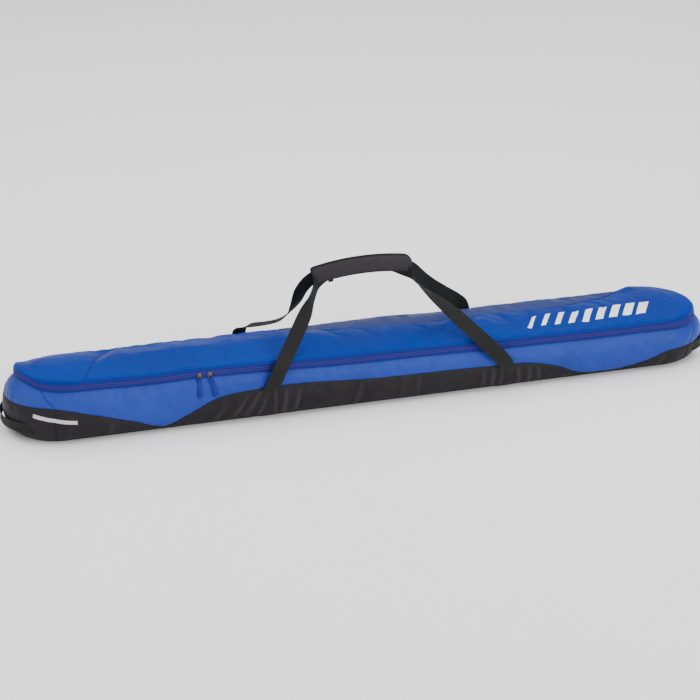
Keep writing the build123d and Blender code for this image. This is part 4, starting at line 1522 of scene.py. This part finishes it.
def build_pulls():
    """Each slider's wire ring and tape. The right one leans."""
    for name, lean in (("left", 0.0), ("right", RIGHT_PULL_LEAN)):
        ring_low, ring_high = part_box(name + "_pull_ring")
        tab_low, tab_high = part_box(name + "_pull_tab")
        hinge = Vector(joints[name + "_pull_hinge"]["pos_m"])
        swing = Matrix.Translation(hinge) @ Matrix.Rotation(-lean, 4, "Y") @ Matrix.Translation(-hinge)
        line_points = pull_line((tab_low.x + tab_high.x) / 2, hinge.y, tab_low.y, tab_high.z, tab_low.z)
        verts, faces, uv = ribbon(line_points, ALONG_X, tab_high.x - tab_low.x, 0.0012)
        tab = make_mesh(name + "_pull_fabric", np.array([swing @ Vector(v) for v in verts]), faces, uv=uv)
        finish_piece(tab, "blue_pull", name + "_pull", [name + "_pull_tab"])
        verts, faces = wire_ring(hinge, ring_high.z - ring_low.z - 2 * WIRE)
        ring = make_mesh(name + "_pull_wire", np.array([swing @ Vector(v) for v in verts]), faces)
        finish_piece(ring, "slider_metal", name + "_pull", [name + "_pull_ring"])


def rounded_box(half_x, half_z, radius):
    """Flat outline of a plate with round corners."""
    points = []
    for sx, sz, turn in ((1, 1, 0), (-1, 1, 90), (-1, -1, 180), (1, -1, 270)):
        for angle in np.radians(np.linspace(turn, turn + 90, 7)):
            points.append((sx * (half_x - radius) + radius * math.cos(angle),
                           sz * (half_z - radius) + radius * math.sin(angle)))
    return np.array(points + points[:1])


def build_sliders():
    """Each slider: a domed plate that runs on the coil, its two rails, and the bridge that holds its ring."""
    for name in ("left", "right"):
        low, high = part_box(name + "_slider_body")
        hinge = joints[name + "_pull_hinge"]["pos_m"]
        x, z, back = (low.x + high.x) / 2, hinge[2], hinge[1] + 0.0034
        flat, faces, depth = cut([rounded_box(0.0058, 0.0062, 0.0024)], spacing=0.0012, rows=(0.0003, 0.0008))
        dome = 0.0016 * np.sqrt(np.clip(1 - (1 - np.clip(depth / 0.0016, 0, 1)) ** 2, 0, 1)) + 0.0004
        front = np.stack([x + flat[:, 0], back - dome, z + flat[:, 1]], axis=1)
        rear = np.stack([x + flat[:, 0], back + 0.0012 + 0 * dome, z + flat[:, 1]], axis=1)
        verts, faces = thicken(front, faces, 0, rear)
        parts = [(verts, faces, np.concatenate([flat, flat]))]
        turns = np.linspace(0, math.pi, 21)
        path = np.stack([0 * turns + x, back - 0.0012 - 0.0036 * np.sin(turns), z + 0.0046 * np.cos(turns)], axis=1)
        parts.append(ribbon(path, ALONG_X, 0.0030, 0.0011))
        run = z + np.linspace(-0.005, 0.005, 9)
        for side in (-1, 1):
            rail = np.stack([0 * run + x + side * 0.0054, 0 * run + back - 0.0006, run], axis=1)
            parts.append(ribbon(rail, ALONG_Y, 0.0034, 0.0010))
        parts = [(v, f if volume(v, f) > 0 else turned_over(f), uv) for v, f, uv in parts]
        slider = joined_mesh(name + "_slider_metal", parts)
        finish_piece(slider, "slider_metal", name + "_slider", [name + "_slider_body"])


# ---------------------------------------------------------------- label, print and stitching
def surface(names):
    """A search tree over the outer surface of settled sheets."""
    verts, faces, base = [], [], 0
    for sheet in SHEETS:
        if sheet["name"] in names:
            verts.append(sheet["verts"])
            faces += [tuple(i + base for i in face) for face in sheet["faces"]]
            base += len(sheet["verts"])
    return BVHTree.FromPolygons([Vector(v) for v in np.concatenate(verts)], faces)


def settle_on(tree, points, ways, lift):
    """Moves points along their own directions onto a surface, and a little off it."""
    placed, normals = [], []
    for point, way in zip(points, ways):
        point, way = Vector(point), Vector(way)
        spot, normal, _, _ = tree.ray_cast(point + way * 0.02, -way, 0.05)
        if spot is None:
            spot, normal, _, _ = tree.find_nearest(point)
        placed.append(tuple(spot + normal * lift))
        normals.append(tuple(normal))
    return np.array(placed), np.array(normals)


def ways_out(flat, place):
    """Directions away from the lid, or away from the lower bag's walls."""
    if place is on_lid:
        return np.tile([0.0, 0.0, 1.0], (len(flat), 1))
    _, _, nx, ny = outline_frame(flat[:, 0])
    return np.stack([nx, ny, 0 * nx], axis=1)


def patch(name, corners, place, tree, lift, slot, body, nodes=(), thick=0.0006, spacing=0.004):
    """A thin flat shape laid on a surface."""
    curves = [line(a, b) for a, b in zip(corners, corners[1:])]
    flat, faces, depth = cut(curves, spacing, rows=(0.0012,))
    verts, _ = settle_on(tree, place(flat, 0.0), ways_out(flat, place), lift)
    verts, faces = thicken(verts, faces, thick)
    obj = make_mesh(name, verts, faces, uv=np.concatenate([flat, flat]), seam=np.concatenate([depth, depth]))
    return finish_piece(obj, slot, body, nodes)


def build_label():
    tree = surface({"front_skirt_fabric", "left_end_bumper_fabric"})
    corners = [(-0.884, 0.087), (-0.780, 0.067), (-0.780, 0.057), (-0.884, 0.077), (-0.884, 0.087)]
    flat = [(float(front_s(x)), z) for x, z in corners]
    patch("name_label", flat, on_tub, tree, 0.0008, "white_label", "bag_body", ["name_strip"], spacing=0.003)


PRINT_BOX = ((0.420, -0.094), (0.762, -0.032))
PRINT_BARS = 9
PRINT_SLANT = 0.036


def build_print():
    """Plain slanted bars printed on the lid."""
    tree = surface({"lid_main_panel_fabric"})
    (low, front), (high, rear) = PRINT_BOX
    pitch = (high - low) / PRINT_BARS
    for k in range(PRINT_BARS):
        x0 = low + k * pitch
        x1 = x0 + pitch * (0.30 + 0.05 * k)
        corners = [
            (x0, front), (x1, front), (x1 + PRINT_SLANT, rear), (x0 + PRINT_SLANT, rear), (x0, front),
        ]
        patch("lid_print_bar_%d" % (k + 1), corners, on_lid, tree, 0.0005, "white_print", "lid", thick=0.0003,
              spacing=0.005)


STITCH_PITCH = 0.0042
STITCH = [                    # shares of its length, width and height
    (-0.5, 0, -0.6), (-0.36, 0.5, 0.0), (-0.36, 0, 0.8), (-0.36, -0.5, 0.0),
    (0.36, 0.5, 0.0), (0.36, 0, 0.8), (0.36, -0.5, 0.0), (0.5, 0, -0.6),
]
STITCH_FACES = [
    (0, 2, 1), (0, 3, 2), (0, 1, 3), (1, 2, 5, 4), (2, 3, 6, 5), (3, 1, 4, 6), (4, 5, 7), (5, 6, 7), (6, 4, 7),
]


def stitch_row(path, normals, length=0.0028, width=0.00075, height=0.00045):
    """A row of raised stitches along a line on a surface."""
    along = lengths_along(path)
    centres = np.arange(STITCH_PITCH / 2, along[-1] - STITCH_PITCH / 2, STITCH_PITCH)
    at = np.stack([np.interp(centres, along, column) for column in path.T], axis=1)
    ahead = np.stack([np.interp(centres + 0.001, along, column) for column in path.T], axis=1)
    up = unit(np.stack([np.interp(centres, along, column) for column in normals.T], axis=1))
    forward = unit(ahead - at)
    side = np.cross(up, forward)
    verts = [at + forward * a * length + side * b * width + up * c * height for a, b, c in STITCH]
    verts = np.stack(verts, axis=1).reshape(-1, 3)
    faces = [tuple(i + len(STITCH) * k for i in face) for k in range(len(centres)) for face in STITCH_FACES]
    return verts, faces, verts[:, :2]


def stitched(name, rows, place, tree, slot, body, hinge=False):
    """Stitches along several flat lines, laid on a surface."""
    parts = []
    for row in rows:
        flat = resample(row, 0.004)
        parts.append(stitch_row(*settle_on(tree, place(flat, 0.001), ways_out(flat, place), 0.0001)))
    finish_piece(joined_mesh(name, parts, sharp=80), slot, body, hinge=hinge)


def offset(curve, distance):
    """A flat curve moved sideways, without its ends."""
    return (curve + distance * unit(np.gradient(curve, axis=0))[:, ::-1] * [-1, 1])[4:-4]


STITCH_INSET = 0.0032         # from a seam to the row of stitches beside it


def build_stitching():
    inset = STITCH_INSET
    dark = {"front_skirt_fabric", "rear_skirt_fabric", "left_end_bumper_fabric", "right_end_bumper_fabric"}
    s = np.linspace(0, AROUND, 2400)
    below = np.stack([s, scallop(s) - inset], axis=1)
    below = below[below[:, 1] > BASE_TOP + 0.002]
    runs = np.split(below, np.flatnonzero(np.diff(below[:, 0]) > 0.01) + 1)
    edge = np.stack([s, np.full_like(s, BASE_TOP + inset)], axis=1)
    stitched("skirt_stitching", runs + [edge], on_tub, surface(dark), "black_thread", "bag_body")
    pale = {"front_side_panel_fabric", "rear_side_panel_fabric", "left_end_panel_fabric", "right_end_panel_fabric"}
    top = np.stack([s, wall_top(s) - inset], axis=1)
    rows = [top]
    for seam, to_s in ((LEFT_SEAM, front_s), (RIGHT_SEAM, front_s), (LEFT_SEAM, rear_s), (RIGHT_SEAM, rear_s)):
        s_top, z_top = seam_top(seam, to_s)
        foot = float(to_s(seam[0]))
        way = 1 if foot < HALF_WAY else -1
        shift = way * (inset if seam is LEFT_SEAM else -inset)
        rows.append(line((foot + shift, float(scallop(foot)) + 0.003), (s_top + shift, z_top - 0.003), 60))
    stitched("wall_stitching", rows, on_tub, surface(pale), "blue_thread", "bag_body")
    cap = crossing(smooth_line(CAP_SEAM, 0.002))
    strip = crossing(smooth_line(STRIP_SEAM, 0.002))
    lid = {"lid_left_cap_fabric", "lid_main_panel_fabric", "lid_rear_strip_fabric"}
    rows = [offset(cap, inset), offset(cap, -inset), offset(cap, inset + 0.005), offset(strip, -inset)]
    ring = np.stack(rim_xy(s, -0.0052), axis=1)
    stitched("lid_stitching", rows + [ring], on_lid, surface(lid), "blue_thread", "lid", hinge=True)


# ---------------------------------------------------------------- camera, light and floor
def build_camera():
    azimuth, elevation = math.radians(-17.56), math.radians(23.41)
    back = Vector((math.sin(azimuth) * math.cos(elevation), -math.cos(azimuth) * math.cos(elevation),
                   math.sin(elevation)))
    camera = bpy.data.cameras.new("camera")
    camera.sensor_width = 36
    camera.lens = 133.6
    camera.shift_x = -0.0173
    camera.shift_y = 0.0513
    obj = bpy.data.objects.new("camera", camera)
    obj.location = back * 6.76
    obj.rotation_euler = back.to_track_quat("Z", "Y").to_euler()
    bpy.context.scene.collection.objects.link(obj)
    bpy.context.scene.camera = obj


def area_light(name, place, target, size, power, colour=(1, 1, 1)):
    light = bpy.data.lights.new(name, "AREA")
    light.shape = "RECTANGLE"
    light.size, light.size_y = size
    light.energy = power
    light.color = colour
    obj = bpy.data.objects.new(name, light)
    obj.location = place
    obj.rotation_euler = (Vector(place) - Vector(target)).to_track_quat("Z", "Y").to_euler()
    bpy.context.scene.collection.objects.link(obj)


FLOOR_HALF = 30.0


def build_studio():
    world = bpy.data.worlds.new("studio")
    bpy.context.scene.world = world
    world.use_nodes = True
    background = world.node_tree.nodes["Background"]
    background.inputs["Color"].default_value = (1, 1, 1, 1)
    background.inputs["Strength"].default_value = 0.4
    area_light("overhead", (0, 0.8, 3.6), (0, 0.8, 0), (8, 7), 420)
    area_light("front", (3.4, -7.0, 3.0), (0, 0, 0.1), (6, 3), 640)
    area_light("left_end", (-6.0, -2.0, 1.6), (-0.8, 0, 0.1), (3, 2), 150)
    material, tree, shader = new_material("floor_paper")
    speck = noise_at(tree, object_place(tree), 3.0)
    tree.links.new(mix_colour(tree, speck, (0.88, 0.88, 0.88), (0.90, 0.90, 0.90)), shader.inputs["Base Color"])
    shader.inputs["Roughness"].default_value = 0.9
    corners = [(x, y, 0) for x, y in ((-1, -1), (1, -1), (1, 1), (-1, 1))]
    floor = make_mesh("floor", FLOOR_HALF * np.array(corners), [(0, 1, 2, 3)], closed=False)
    floor.data.materials.append(material)


# ---------------------------------------------------------------- build
build_camera()
build_studio()
build_panels()
build_lid()
build_grip()
simulate()
finish_sheets()
build_zipper()
build_base()
build_inside()
build_ski_straps()
build_lid_lining()
build_handles()
build_foot_stubs()
build_hauls()
build_pulls()
build_sliders()
build_label()
build_print()
build_stitching()
slots = {part["node"]: part["material_slot"] for part in frame["record"]["subparts"]}
for node, obj in frame["nodes"].items():
    obj.data.materials.clear()
    obj.data.materials.append(MATERIALS[slots[node]])
